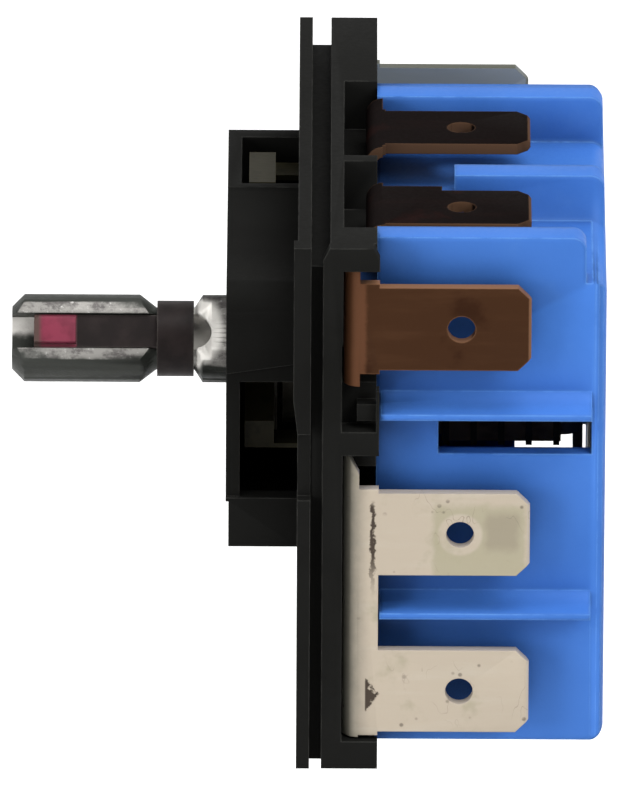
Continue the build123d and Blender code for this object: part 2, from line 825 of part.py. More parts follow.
twin_blank = bent_terminal(
    down,
    near,
    side_reach,
    side_leg_front,
    (-pair_high - curl_length, -pair_low),
    [
        [
            (-pair_high, pair_leg_inner),
            (-pair_low, pair_leg_inner),
            (-pair_low, side_bend_start),
            (-pair_high, side_bend_start),
        ],
        [
            (-pair_tongue_high, tongue_inner),
            (-pair_tongue_low, tongue_inner),
            (-pair_tongue_low, pair_leg_inner + 0.1),
            (-pair_tongue_high, pair_leg_inner + 0.1),
        ],
    ],
    [-pair_upper_centre, -pair_lower_centre],
    [(-snap_root_z, snap_centre, shank_hole)],
)
curl_end = pair_high + curl_length
with BuildPart() as terminal_line_pair:
    add(twin_blank.part)
    # The free end of the bend is sheared at a slant
    with BuildSketch(Plane.YZ.offset(side_bend_start - 0.1)):
        with BuildLine():
            Polyline(
                (side_leg_front + bend_radius / 3, curl_end + 0.1),
                (side_leg_front + bend_radius + 0.1, curl_end + 0.1),
                (side_leg_front + bend_radius + 0.1, pair_high + 0.1),
                (side_leg_front + bend_radius, pair_high + 0.1),
                close=True,
            )
        make_face()
    extrude(amount=bend_radius + 0.2, mode=Mode.SUBTRACT)
terminal_line_pair.part.label = "terminal_line_pair"
export_step(terminal_line_pair.part, "parts/terminal_line_pair.step")

terminal_pilot = bent_terminal(
    up,
    far,
    side_reach,
    side_leg_front,
    (pilot_low, pilot_high),
    [
        [
            (pilot_low, side_leg_inner),
            (pilot_high, side_leg_inner),
            (pilot_high, side_bend_start),
            (pilot_low, side_bend_start),
        ],
        [
            (link_z - 1, side_leg_inner - pilot_tongue),
            (link_z + 1, side_leg_inner - pilot_tongue),
            (link_z + 1, side_leg_inner + 0.1),
            (link_z - 1, side_leg_inner + 0.1),
        ],
    ],
    [pilot_centre],
)
terminal_pilot.part.label = "terminal_pilot"
export_step(terminal_pilot.part, "parts/terminal_pilot.step")

# Shaft: turned bar with neck, collar, D flat, slot, drive end and tail
drive_front = -cam_front - 0.1
drive_rear = drive_front + 3.5
with BuildPart() as shaft:
    with BuildSketch(Plane.XY):
        with BuildLine():
            Polyline(
                (0, -shaft_tip),
                (shaft_radius - shaft_chamfer, -shaft_tip),
                (shaft_radius, -shaft_tip + shaft_chamfer),
                (shaft_radius, -shaft_land_end),
                (neck_radius, -neck_front),
                (neck_radius, -neck_rear),
                (shaft_radius, -collar_front),
                (shaft_radius, drive_front),
                (drive_radius, drive_front),
                (drive_radius, drive_rear),
                (tail_radius, drive_rear),
                (tail_radius, tail_length),
                (0, tail_length),
                close=True,
            )
        make_face()
    revolve(axis=Axis.Y)
    flat_normal = Vector(math.cos(math.radians(shaft_turn)), 0, math.sin(math.radians(shaft_turn)))
    with BuildSketch(Plane(origin=flat_normal * shaft_flat, x_dir=(0, 1, 0), z_dir=flat_normal)):
        with Locations((-flat_end, 0)):
            Rectangle(shaft_tip, 4 * shaft_radius, align=(Align.MAX, Align.CENTER))
    extrude(amount=shaft_radius, mode=Mode.SUBTRACT)
    with BuildSketch(Plane(origin=flat_normal * slot_floor, x_dir=(0, 1, 0), z_dir=flat_normal)):
        with BuildLine():
            Polyline(
                (-flat_end - slot_width / 2, slot_width / 2),
                (-shaft_tip - 1, slot_width / 2),
                (-shaft_tip - 1, -slot_width / 2),
                (-flat_end - slot_width / 2, -slot_width / 2),
            )
            ThreePointArc(
                (-flat_end - slot_width / 2, -slot_width / 2),
                (-flat_end, 0),
                (-flat_end - slot_width / 2, slot_width / 2),
            )
        make_face()
    extrude(amount=shaft_radius, mode=Mode.SUBTRACT)
    with BuildSketch(Plane(origin=flat_normal * drive_flat, x_dir=(0, 1, 0), z_dir=flat_normal)):
        with Locations(((drive_front + drive_rear) / 2, 0)):
            Rectangle(drive_rear - drive_front, 4 * drive_radius)
    extrude(amount=drive_radius, mode=Mode.SUBTRACT)
    # Groove for the retaining ring
    with BuildSketch(at_depth(ring_front + ring_thickness + blade_clearance)):
        Circle(tail_radius + 1)
        Circle(tail_radius - 0.4, mode=Mode.SUBTRACT)
    extrude(amount=ring_thickness + 2 * blade_clearance, mode=Mode.SUBTRACT)
shaft.part.label = "shaft"
export_step(shaft.part, "parts/shaft.step")

# Knob clip: open ring snapped into the neck, with a tongue in the slot and a raised pad at its end
clip_inner = neck_radius + press_clearance
clip_outer = clip_inner + clip_thickness
with BuildPart() as knob_clip:
    with BuildSketch(at_depth(-neck_rear - clip_side_gap)):
        Circle(clip_outer)
        Circle(clip_inner, mode=Mode.SUBTRACT)
        with BuildLine():
            gap = math.radians(clip_gap_angle) / 2
            facing = math.radians(shaft_turn) + math.pi
            reach_past = 2 * clip_outer
            Polyline(
                (0, 0),
                (reach_past * math.cos(facing - gap), reach_past * math.sin(facing - gap)),
                (reach_past * math.cos(facing + gap), reach_past * math.sin(facing + gap)),
                close=True,
            )
        make_face(mode=Mode.SUBTRACT)
    extrude(amount=neck_front - neck_rear - 2 * clip_side_gap)
    tongue_floor = flat_normal * (slot_floor + press_clearance)
    with BuildSketch(Plane(origin=tongue_floor, x_dir=(0, 1, 0), z_dir=flat_normal)):
        with Locations((-neck_rear - clip_side_gap, 0)):
            Rectangle(
                pad_start - neck_rear - clip_side_gap,
                slot_width - 2 * running_clearance,
                align=(Align.MAX, Align.CENTER),
            )
    extrude(amount=shaft_flat - slot_floor - tongue_sink)
    with BuildSketch(Plane(origin=flat_normal * slot_floor * 2, x_dir=(0, 1, 0), z_dir=flat_normal)):
        with Locations((-pad_start + clip_pad_length, 0)):
            Rectangle(clip_pad_length, clip_pad_width, align=(Align.MAX, Align.CENTER))
    extrude(amount=pad_height - 2 * slot_floor)
    chamfer(knob_clip.faces().sort_by(Axis.Y)[0].edges().sort_by(Axis.Z)[-1], clip_edge)
knob_clip.part.label = "knob_clip"
export_step(knob_clip.part, "parts/knob_clip.step")

# Cam: hub, switch disc and lift disc, with the D bore that drives it and the chamber of the push spring
def lift_radius(turn):
    """Radius of the lift disc under the follower's nose when the cam has turned that many degrees."""
    lift = swing * min(max(turn, 0), turn_range) / turn_range
    nose_x = pivot_x + arm_x * math.cos(lift) - arm_z * math.sin(lift)
    nose_z = pivot_z + arm_x * math.sin(lift) + arm_z * math.cos(lift)
    return math.hypot(nose_x, nose_z) - nose_radius - nose_gap


def nose_angle(turn):
    """Direction of the follower's nose, seen from the panel, at a turn of the cam."""
    lift = swing * min(max(turn, 0), turn_range) / turn_range
    nose_x = pivot_x + arm_x * math.cos(lift) - arm_z * math.sin(lift)
    nose_z = pivot_z + arm_x * math.sin(lift) + arm_z * math.cos(lift)
    return math.degrees(math.atan2(nose_z, nose_x))


def lift_outline():
    """Points of the lift disc: a steady rise over the turn, a dwell at each end and the fall between them."""
    low = lift_radius(0)
    high = lift_radius(turn_range)
    start = nose_angle(0)
    points = []
    steps = 20
    for step in range(steps + 1):
        turn = turn_range * step / steps
        angle = math.radians(nose_angle(turn) + turn)
        points.append((lift_radius(turn) * math.cos(angle), lift_radius(turn) * math.sin(angle)))
    fall = ((10, high), (22, (high + low) / 2), (36, low))
    for past_end, radius in fall:
        angle = math.radians(start + turn_range + past_end)
        points.append((radius * math.cos(angle), radius * math.sin(angle)))
    return points


with BuildPart() as cam:
    with BuildSketch(at_depth(hub_rear)):
        Circle(hub_radius)
    extrude(amount=hub_rear + cam_front)
    with BuildSketch(at_depth(-cam_front + switch_disc_thickness)):
        Circle(switch_disc_radius)
    extrude(amount=switch_disc_thickness)
    with BuildSketch(at_depth(lift_disc_rear)):
        with BuildLine():
            Spline(*lift_outline(), periodic=True)
        make_face()
    extrude(amount=lift_disc_thickness)
    with BuildSketch(at_depth(spring_end)):
        Circle(drive_radius + running_clearance)
        with Locations(Location((0, 0), shaft_turn)):
            with Locations((drive_flat + running_clearance, 0)):
                Rectangle(drive_radius, 4 * drive_radius, align=(Align.MIN, Align.CENTER), mode=Mode.SUBTRACT)
    extrude(amount=spring_end + cam_front, mode=Mode.SUBTRACT)
    with BuildSketch(at_depth(-cam_front + push_travel + seat_clearance)):
        Circle(shaft_radius + 0.15)
    extrude(amount=push_travel + seat_clearance, mode=Mode.SUBTRACT)
    with BuildSketch(at_depth(hub_rear)):
        Circle(tail_radius + running_clearance)
    extrude(amount=hub_rear - spring_end, mode=Mode.SUBTRACT)
cam.part.label = "cam"
export_step(cam.part, "parts/cam.step")

# Push spring around the tail, inside the cam's hub
spring_start = drive_rear + spring_wire / 2 + press_clearance
spring_stop = spring_end - spring_wire / 2 - press_clearance
with BuildPart() as push_spring:
    with BuildLine() as coil:
        Helix(
            pitch=(spring_stop - spring_start) / spring_turns,
            height=spring_stop - spring_start,
            radius=spring_radius,
            center=(0, spring_start, 0),
            direction=(0, 1, 0),
        )
    with BuildSketch(Plane(origin=coil.line @ 0, z_dir=coil.line % 0)):
        Circle(spring_wire / 2)
    sweep()
push_spring.part.label = "push_spring"
export_step(push_spring.part, "parts/push_spring.step")

# Retaining ring in the groove of the tail
with BuildPart() as retaining_ring:
    with BuildSketch(at_depth(ring_front + ring_thickness)):
        Circle(ring_radius)
        Circle(ring_bore, mode=Mode.SUBTRACT)
        with Locations((0, -ring_radius)):
            Rectangle(1.4 * ring_bore, 2 * ring_radius, mode=Mode.SUBTRACT)
        with Locations((-ring_radius, 0), (ring_radius, 0)):
            Circle(ring_radius * 0.3, mode=Mode.SUBTRACT)
    extrude(amount=ring_thickness)
retaining_ring.part.label = "retaining_ring"
export_step(retaining_ring.part, "parts/retaining_ring.step")

# Follower lever: cranked arm with the nose on the lift disc and the peg through the web
lever_front = lift_disc_front + blade_clearance
lever_rear = lift_disc_rear - blade_clearance
with BuildPart() as follower_lever:
    with BuildSketch(at_depth(lever_rear)):
        with Locations((pivot_x, pivot_z)):
            Circle(lever_boss_radius)
        with BuildLine():
            Polyline(
                (pivot_x - lever_width / 2, pivot_z),
                (pivot_x + lever_width / 2, pivot_z),
                (crank_x + lever_width / 2, nose_rest_z - lever_width / 2),
                (nose_rest_x, nose_rest_z - lever_width / 2),
                (nose_rest_x, nose_rest_z + lever_width / 2),
                (crank_x - lever_width / 2, nose_rest_z + lever_width / 2),
                close=True,
            )
        make_face()
        with Locations((nose_rest_x, nose_rest_z)):
            Circle(nose_radius)
        with Locations((pivot_x, pivot_z)):
            Circle(lever_pin_radius + running_clearance, mode=Mode.SUBTRACT)
    extrude(amount=lever_rear - lever_front)
    with BuildSketch(at_depth(carrier_rear + peg_reach)):
        with Locations((nose_rest_x, nose_rest_z)):
            Circle(peg_radius)
    extrude(amount=carrier_rear + peg_reach - lever_rear)
follower_lever.part.label = "follower_lever"
export_step(follower_lever.part, "parts/follower_lever.step")

follower_pin = lying_rivet(
    pivot_x, pivot_z, lever_front - 0.4, web_front + pin_seat - 0.2, lever_pin_radius, lever_pin_radius, 0.1
)
follower_pin.part.label = "follower_pin"
export_step(follower_pin.part, "parts/follower_pin.step")

# Line switch: plunger, spring blade, its rivet and the two contacts
line_blade_front = carrier_rear + line_blade_lift
line_blade_rear = line_blade_front + blade_thickness
with BuildPart() as line_plunger:
    with BuildSketch(at_depth(line_blade_front - press_clearance)):
        with Locations((plunger_x, plunger_z)):
            Circle(plunger_radius)
    extrude(amount=line_blade_front - press_clearance - lift_disc_rear - plunger_cam_gap)
    with BuildSketch(at_depth(line_blade_front - press_clearance)):
        with Locations((plunger_x, plunger_z)):
            Circle(plunger_radius + 0.4)
    extrude(amount=line_blade_lift / 2)
line_plunger.part.label = "line_plunger"
export_step(line_plunger.part, "parts/line_plunger.step")

with BuildPart() as line_blade:
    with BuildSketch(at_depth(line_blade_rear)):
        left = line_out_centre - contact_radius - 0.2
        right = line_rivet_x + rivet_head_radius + 0.3
        with Locations(((left + right) / 2, line_contact_height)):
            Rectangle(right - left, line_blade_width)
        with Locations((plunger_x, line_contact_height)):
            Rectangle(
                2 * plunger_radius + 0.2,
                line_contact_height - plunger_z + plunger_radius,
                align=(Align.CENTER, Align.MAX),
            )
        with Locations((line_rivet_x, line_contact_height)):
            Circle(rivet_radius + blade_clearance, mode=Mode.SUBTRACT)
        with Locations((line_out_centre, line_contact_height)):
            Circle(contact_shank, mode=Mode.SUBTRACT)
    extrude(amount=blade_thickness)
line_blade.part.label = "line_blade"
export_step(line_blade.part, "parts/line_blade.step")


def blade_rivet(x, z, leg_front, leg_rear, blade_front):
    """Shouldered rivet that carries a spring blade behind a terminal leg: shank, spacing collar and head."""
    blade_rear = blade_front + blade_thickness
    head_seat = blade_rear + blade_clearance
    rivet = lying_rivet(x, z, leg_front, head_seat, rivet_radius, rivet_head_radius, rivet_head)
    with BuildPart() as shouldered:
        add(rivet.part)
        with BuildSketch(at_depth(blade_front - blade_clearance)):
            with Locations((x, z)):
                Circle(rivet_head_radius)
        extrude(amount=blade_front - blade_clearance - leg_rear)
    return shouldered


line_blade_rivet = blade_rivet(
    line_rivet_x, line_contact_height, top_leg_front, carrier_rear, line_blade_front
)
line_blade_rivet.part.label = "line_blade_rivet"
export_step(line_blade_rivet.part, "parts/line_blade_rivet.step")


def contact_button(x, z, face, tail, head):
    """Contact rivet: a head that ends at face, and a thin shank to tail. Face and tail are depths."""
    forward = face < tail
    with BuildPart() as button:
        with BuildSketch(at_depth(max(face, tail))):
            with Locations((x, z)):
                Circle(contact_shank)
        extrude(amount=abs(tail - face))
        with BuildSketch(at_depth(face)):
            with Locations((x, z)):
                Circle(contact_radius)
        extrude(amount=-head if forward else head)
    return button


line_moving_contact = contact_button(
    line_out_centre, line_contact_height, line_blade_front - contact_head, line_blade_rear + 0.1, contact_head
)
line_moving_contact.part.label = "line_moving_contact"
export_step(line_moving_contact.part, "parts/line_moving_contact.step")

line_fixed_contact = contact_button(
    line_out_centre, line_contact_height, carrier_rear + fixed_contact_head, top_leg_front, fixed_contact_head
)
line_fixed_contact.part.label = "line_fixed_contact"
export_step(line_fixed_contact.part, "parts/line_fixed_contact.step")

# Cycling switch: snap blade with its tongue, its rivet and the two contacts
snap_front = side_leg_rear + snap_lift
snap_rear = snap_front + blade_thickness
with BuildPart() as snap_blade:
    with BuildSketch(at_depth(snap_rear)):
        low = snap_root_z - rivet_head_radius - 0.3
        high = snap_contact_z + contact_radius
        with Locations((snap_centre, (low + high) / 2)):
            Rectangle(snap_width, high - low)
        middle_slot = (snap_root_z + rivet_head_radius + snap_contact_z - contact_radius) / 2
        with Locations((snap_centre - 1.2, middle_slot), (snap_centre + 1.2, middle_slot)):
            Rectangle(0.35, snap_slot_length, mode=Mode.SUBTRACT)
        with Locations((snap_centre, snap_root_z)):
            Circle(rivet_radius + blade_clearance, mode=Mode.SUBTRACT)
        with Locations((snap_centre, snap_contact_z)):
            Circle(contact_shank, mode=Mode.SUBTRACT)
    extrude(amount=blade_thickness)
snap_blade.part.label = "snap_blade"
export_step(snap_blade.part, "parts/snap_blade.step")

snap_blade_rivet = blade_rivet(snap_centre, snap_root_z, side_leg_front, side_leg_rear, snap_front)
snap_blade_rivet.part.label = "snap_blade_rivet"
export_step(snap_blade_rivet.part, "parts/snap_blade_rivet.step")

snap_moving_contact = contact_button(
    snap_centre, snap_contact_z, snap_front - snap_contact_head, snap_rear + 0.1, snap_contact_head
)
snap_moving_contact.part.label = "snap_moving_contact"
export_step(snap_moving_contact.part, "parts/snap_moving_contact.step")

snap_fixed_face = snap_front - snap_contact_head - snap_contact_gap
heater_fixed_contact = contact_button(
    snap_centre, snap_contact_z, snap_fixed_face, side_leg_front, snap_fixed_face - side_leg_rear
)
heater_fixed_contact.part.label = "heater_fixed_contact"
export_step(heater_fixed_contact.part, "parts/heater_fixed_contact.step")

# Pilot switch: spring with its bump and foot, and the link that runs under the top wall to the far terminal
with BuildPart() as pilot_spring:
    with BuildSketch(at_depth(-pilot_front + pilot_width)):
        face = [
            (pilot_x, pilot_foot_z - blade_thickness / 2),
            (pilot_x, -pilot_bump_height),
            (pilot_x - pilot_bump, 0),
            (pilot_x, pilot_bump_height),
            (pilot_x, pilot_top_z),
        ]
        back = [(x + blade_thickness, z) for x, z in reversed(face)]
        with BuildLine():
            Polyline(*face, *back, close=True)
        make_face()
    extrude(amount=pilot_width)
    with BuildSketch(Plane.XY.offset(pilot_foot_z - blade_thickness / 2)):
        with Locations((pilot_x + blade_thickness, -pilot_front)):
            Rectangle(
                foot_length + blade_thickness,
                pilot_front + side_leg_front - press_clearance,
                align=(Align.MAX, Align.MIN),
            )
    extrude(amount=blade_thickness)
    with BuildSketch(Plane.YZ.offset(pilot_x)):
        with Locations((-pilot_front + pilot_width / 2, pilot_contact_z)):
            Circle(contact_shank)
    extrude(amount=blade_thickness, mode=Mode.SUBTRACT)
pilot_spring.part.label = "pilot_spring"
export_step(pilot_spring.part, "parts/pilot_spring.step")

pilot_centre_y = -pilot_front + pilot_width / 2
with BuildPart() as pilot_moving_contact:
    with BuildSketch(Plane.YZ.offset(pilot_x - 0.1)):
        with Locations((pilot_centre_y, pilot_contact_z)):
            Circle(contact_shank)
    extrude(amount=blade_thickness + 0.2)
    with BuildSketch(Plane.YZ.offset(pilot_x + blade_thickness)):
        with Locations((pilot_centre_y, pilot_contact_z)):
            Circle(pilot_contact_radius)
    extrude(amount=contact_head)
pilot_moving_contact.part.label = "pilot_moving_contact"
export_step(pilot_moving_contact.part, "parts/pilot_moving_contact.step")

link_near_x = pilot_x + blade_thickness + contact_head + pilot_gap + contact_head
with BuildPart() as pilot_link:
    with BuildSketch(Plane.XY.offset(link_z - link_thickness / 2)):
        with Locations((link_rear_x - link_tab_width / 2, -pilot_front + 0.2)):
            Rectangle(
                link_near_x + link_thickness - link_rear_x + link_tab_width / 2,
                pilot_width - 0.2,
                align=(Align.MIN, Align.MIN),
            )
            Rectangle(
                link_tab_width,
                pilot_front - 0.2 + side_leg_front - press_clearance,
                align=(Align.MIN, Align.MIN),
            )
    extrude(amount=link_thickness)
    # Lug folded up into the opening of the block's top wall
    with BuildSketch(at_depth(-pilot_front + pilot_width)):
        with BuildLine():
            Polyline(
                (link_lug_x, link_lug_top),
                (link_lug_x + link_lug_length, link_lug_top),
                (link_lug_x + link_lug_length, link_z),
                (link_lug_x + link_lug_length - link_thickness, link_z),
                (link_lug_x + link_lug_length - link_thickness, link_lug_top - link_thickness),
                (link_lug_x, link_lug_top - link_thickness),
                close=True,
            )
        make_face()
    extrude(amount=pilot_width - 0.2)
    with BuildSketch(at_depth(-pilot_front + pilot_width)):
        with Locations((link_near_x, link_z + link_thickness / 2)):
            Rectangle(
                link_thickness,
                link_z + link_thickness / 2 - pilot_contact_z + pilot_contact_radius + 0.2,
                align=(Align.MIN, Align.MAX),
            )
    extrude(amount=pilot_width - 0.2)
    with BuildSketch(Plane.YZ.offset(link_near_x)):
        with Locations((pilot_centre_y, pilot_contact_z)):
            Circle(contact_shank)
    extrude(amount=link_thickness, mode=Mode.SUBTRACT)
pilot_link.part.label = "pilot_link"
export_step(pilot_link.part, "parts/pilot_link.step")

with BuildPart() as pilot_fixed_contact:
    with BuildSketch(Plane.YZ.offset(link_near_x)):
        with Locations((pilot_centre_y, pilot_contact_z)):
            Circle(contact_shank)
    extrude(amount=link_thickness + 0.1)
    with BuildSketch(Plane.YZ.offset(link_near_x - contact_head)):
        with Locations((pilot_centre_y, pilot_contact_z)):
            Circle(pilot_contact_radius)
    extrude(amount=contact_head)
pilot_fixed_contact.part.label = "pilot_fixed_contact"
export_step(pilot_fixed_contact.part, "parts/pilot_fixed_contact.step")

# Bimetal: folded strip on edge, one leg carries the heater and the other compensates for the room's warmth
bimetal_rear = housing_rear - housing_rear_wall - bimetal_rear_gap
card_length = bimetal_rear - bimetal_bend - card_bend_gap - card_start
winding_pitch = (card_length - 2 * card_margin - ribbon_width) / (winding_count - 1)
with BuildPart() as bimetal:
    with BuildSketch(Plane.XY.offset(-bimetal_bottom)) as strip:
        with Locations((0, bimetal_rear)):
            Rectangle(
                2 * snap_centre + bimetal_thickness,
                bimetal_rear - bimetal_front,
                align=(Align.CENTER, Align.MAX),
            )
        fillet(strip.vertices().group_by(Axis.Y)[-1], bimetal_bend)
        with BuildLine():
            inner = snap_centre - bimetal_thickness / 2
            corner = bimetal_bend - bimetal_thickness
            rear = bimetal_rear - bimetal_thickness
            Polyline(
                (inner, rear - corner),
                (inner, bimetal_front),
                (-inner, bimetal_front),
                (-inner, rear - corner),
            )
            RadiusArc((-inner, rear - corner), (-inner + corner, rear), corner)
            Line((-inner + corner, rear), (inner - corner, rear))
            RadiusArc((inner - corner, rear), (inner, rear - corner), corner)
        make_face(mode=Mode.SUBTRACT)
    extrude(amount=bimetal_bottom + bimetal_top)
    # Stop tab on the rear run, beside the near bend
    with BuildSketch(at_depth(bimetal_rear)):
        with Locations((snap_centre - bimetal_bend, -bimetal_bottom)):
            Rectangle(stop_tab_width, stop_tab_length, align=(Align.MAX, Align.MAX))
    extrude(amount=bimetal_thickness)
    with BuildSketch(Plane.YZ.offset(-snap_centre - bimetal_thickness / 2)):
        with Locations((bimetal_front + 1.3, bimetal_rivet_z), (bimetal_front + 2.8, bimetal_rivet_z)):
            Circle(contact_shank)
    extrude(amount=bimetal_thickness, mode=Mode.SUBTRACT)
bimetal.part.label = "bimetal"
export_step(bimetal.part, "parts/bimetal.step")

with BuildPart() as heater_card:
    card_middle = (bimetal_top - bimetal_bottom) / 2
    card_height = bimetal_top + bimetal_bottom + 2 * press_clearance
    card_width = bimetal_thickness + 2 * press_clearance
    with BuildSketch(at_depth(card_start + card_length)):
        with Locations((snap_centre, card_middle)):
            Rectangle(card_width + 2 * card_thickness, card_height + 2 * card_thickness)
            Rectangle(card_width, card_height, mode=Mode.SUBTRACT)
    extrude(amount=card_length)
heater_card.part.label = "heater_card"
export_step(heater_card.part, "parts/heater_card.step")

# Heater winding: flat ribbon turns around the card, joined by a return strip along its inner face
with BuildPart() as heater_winding:
    inner_width = card_width + 2 * card_thickness
    inner_height = card_height + 2 * card_thickness
    for turn in range(winding_count):
        turn_rear = card_start + card_margin + turn * winding_pitch + ribbon_width
        with BuildSketch(at_depth(turn_rear)):
            with Locations((snap_centre, card_middle)):
                Rectangle(inner_width + 2 * winding_thickness, inner_height + 2 * winding_thickness)
                Rectangle(inner_width, inner_height, mode=Mode.SUBTRACT)
        extrude(amount=ribbon_width)
    with BuildSketch(Plane.YZ.offset(snap_centre - inner_width / 2 - winding_thickness)):
        with Locations((card_start + card_margin, bimetal_top - 0.8)):
            Rectangle(
                (winding_count - 1) * winding_pitch + ribbon_width,
                0.8,
                align=(Align.MIN, Align.CENTER),
            )
    extrude(amount=winding_thickness)
heater_winding.part.label = "heater_winding"
export_step(heater_winding.part, "parts/heater_winding.step")

# Push bead on the end of the heated leg, just behind the snap blade's tongue
with BuildPart() as push_bead:
    with BuildSketch(at_depth(bimetal_front + 1)):
        with Locations((snap_centre, bead_z)):
            Circle(bead_radius)
    extrude(amount=bimetal_front + 1 - snap_rear - bead_gap)
    with BuildSketch(at_depth(bimetal_front + 1)):
        with Locations((snap_centre, bead_z)):
            Rectangle(bimetal_thickness + 2 * press_clearance, 4 * bead_radius)
    extrude(amount=1, mode=Mode.SUBTRACT)
push_bead.part.label = "push_bead"
export_step(push_bead.part, "parts/push_bead.step")

# Bracket: angle plate on the web that carries the compensating leg
bracket_face = snap_centre + bimetal_thickness / 2 + press_clearance
with BuildPart() as bimetal_bracket:
    with BuildSketch(Plane.YZ.offset(-bracket_face - bracket_thickness)):
        with BuildLine():
            Polyline(
                (carrier_rear, -bimetal_bottom),
                (carrier_rear, bracket_low_top),
                (bimetal_front - 0.3, bracket_low_top),
                (bimetal_front - 0.3, bimetal_top),
                (bimetal_front + bracket_length - 0.5, bimetal_top),
                (bimetal_front + bracket_length - 0.5, -bimetal_bottom),
                close=True,
            )
        make_face()
        with Locations((bimetal_front + 1.3, bimetal_rivet_z), (bimetal_front + 2.8, bimetal_rivet_z)):
            Circle(contact_shank, mode=Mode.SUBTRACT)
    extrude(amount=bracket_thickness)
    with BuildSketch(at_depth(carrier_rear + bracket_thickness)):
        with Locations((-bracket_face - bracket_thickness / 2, -bimetal_bottom)):
            Rectangle(bracket_length, bracket_low_top + bimetal_bottom, align=(Align.MAX, Align.MIN))
        with Locations((bracket_rivet_x, bracket_rivet_z)):
            Circle(rivet_radius + press_clearance, mode=Mode.SUBTRACT)
    extrude(amount=bracket_thickness)
bimetal_bracket.part.label = "bimetal_bracket"
export_step(bimetal_bracket.part, "parts/bimetal_bracket.step")

bracket_rivet = lying_rivet(
    bracket_rivet_x,
    bracket_rivet_z,
    carrier_rear - bracket_rivet_seat,
    carrier_rear + bracket_thickness,
    rivet_radius,
    rivet_head_radius,
    rivet_head,
)
bracket_rivet.part.label = "bracket_rivet"
export_step(bracket_rivet.part, "parts/bracket_rivet.step")

with BuildPart() as bimetal_rivets:
    rivet_left = -bracket_face - bracket_thickness
    rivet_right = -snap_centre + bimetal_thickness / 2
    for rivet_y in (bimetal_front + 1.3, bimetal_front + 2.8):
        with BuildSketch(Plane.YZ.offset(rivet_left)):
            with Locations((rivet_y, bimetal_rivet_z)):
                Circle(contact_shank - press_clearance)
        extrude(amount=rivet_right - rivet_left)
        with BuildSketch(Plane.YZ.offset(rivet_left - 0.2), Plane.YZ.offset(rivet_right)):
            with Locations((rivet_y, bimetal_rivet_z)):
                Circle(contact_shank + 0.1)
        extrude(amount=0.2)
bimetal_rivets.part.label = "bimetal_rivets"
export_step(bimetal_rivets.part, "parts/bimetal_rivets.step")

# Calibration screw in the rear wall, its tip just behind the bend of the bimetal
with BuildPart() as calibration_screw:
    with BuildSketch(at_depth(housing_rear - screw_sink)):
        with Locations((0, screw_z)):
            Circle(screw_radius)
    extrude(amount=housing_rear - screw_sink - bimetal_rear - blade_clearance)
    with BuildSketch(at_depth(housing_rear - screw_sink)):
        with Locations((0, screw_z)):
            Rectangle(3 * screw_radius, screw_slot)
    extrude(amount=screw_slot, mode=Mode.SUBTRACT)
calibration_screw.part.label = "calibration_screw"
export_step(calibration_screw.part, "parts/calibration_screw.step")

# Threaded inserts for the panel screws
with BuildPart() as panel_inserts:
    with BuildSketch(at_depth(insert_length)):
        with Locations((-insert_x, 0), (insert_x, 0)):
            Circle(insert_radius)
            Circle(insert_thread_radius, mode=Mode.SUBTRACT)
    extrude(amount=insert_length)
panel_inserts.part.label = "panel_inserts"
export_step(panel_inserts.part, "parts/panel_inserts.step")

# Long rivets that hold cover, carrier and housing together, with both heads sunk
with BuildPart() as assembly_rivets:
    with BuildSketch(at_depth(housing_rear)):
        with Locations((-post_x, post_z), (post_x, post_z)):
            Circle(post_radius)
    extrude(amount=housing_rear)
    with BuildSketch(at_depth(housing_rear), at_depth(post_head)):
        with Locations((-post_x, post_z), (post_x, post_z)):
            Circle(post_head_radius)
    extrude(amount=post_head)
assembly_rivets.part.label = "assembly_rivets"
export_step(assembly_rivets.part, "parts/assembly_rivets.step")
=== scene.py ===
"""Infinite switch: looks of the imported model, with its studio and its camera.

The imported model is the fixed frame. Pieces that show are copies of its nodes with their edges softened, and
every node and every added piece is dressed in a procedural finish.

Lengths in fields and plain numbers are millimetres where no other unit is named. Sockets carry metres.
"""

import logging
import math
from collections.abc import Callable, Sequence
from dataclasses import dataclass
from enum import Enum

import bmesh
import bpy
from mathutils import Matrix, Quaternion, Vector


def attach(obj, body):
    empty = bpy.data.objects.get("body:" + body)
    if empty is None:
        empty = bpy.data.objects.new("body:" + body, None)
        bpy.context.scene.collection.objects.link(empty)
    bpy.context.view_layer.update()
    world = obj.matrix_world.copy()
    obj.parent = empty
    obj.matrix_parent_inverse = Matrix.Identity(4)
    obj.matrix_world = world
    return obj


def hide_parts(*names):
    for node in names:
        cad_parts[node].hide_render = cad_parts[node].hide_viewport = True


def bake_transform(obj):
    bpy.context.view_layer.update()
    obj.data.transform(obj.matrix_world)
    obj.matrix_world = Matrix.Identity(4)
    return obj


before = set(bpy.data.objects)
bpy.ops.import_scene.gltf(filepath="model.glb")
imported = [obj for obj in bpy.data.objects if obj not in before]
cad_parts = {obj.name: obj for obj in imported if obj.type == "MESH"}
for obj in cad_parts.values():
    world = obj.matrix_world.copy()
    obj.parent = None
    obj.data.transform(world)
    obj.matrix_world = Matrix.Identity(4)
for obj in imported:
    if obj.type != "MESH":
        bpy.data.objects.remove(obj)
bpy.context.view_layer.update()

LOG = logging.getLogger("infinite_switch")
MM = 0.001
MERGE_DISTANCE = 0.002 * MM
FLAT_ANGLE = math.radians(0.8)
SMOOTH_ANGLE = math.radians(32.0)
SHAFT_TURN = math.radians(36.0)
EDGE_SAMPLES = 4
EDGE_LIKENESS = 0.995, 0.8
HOLLOW_SAMPLES = 6
HOLLOW_OPENNESS = 0.85, 0.15
ROUNDING_SAMPLES = 6
ROUND_SIDES = 48
SQUARELY = 0.9
WHOLE = 1.0, 1.0, 1.0
WHITE = 1.0, 1.0, 1.0

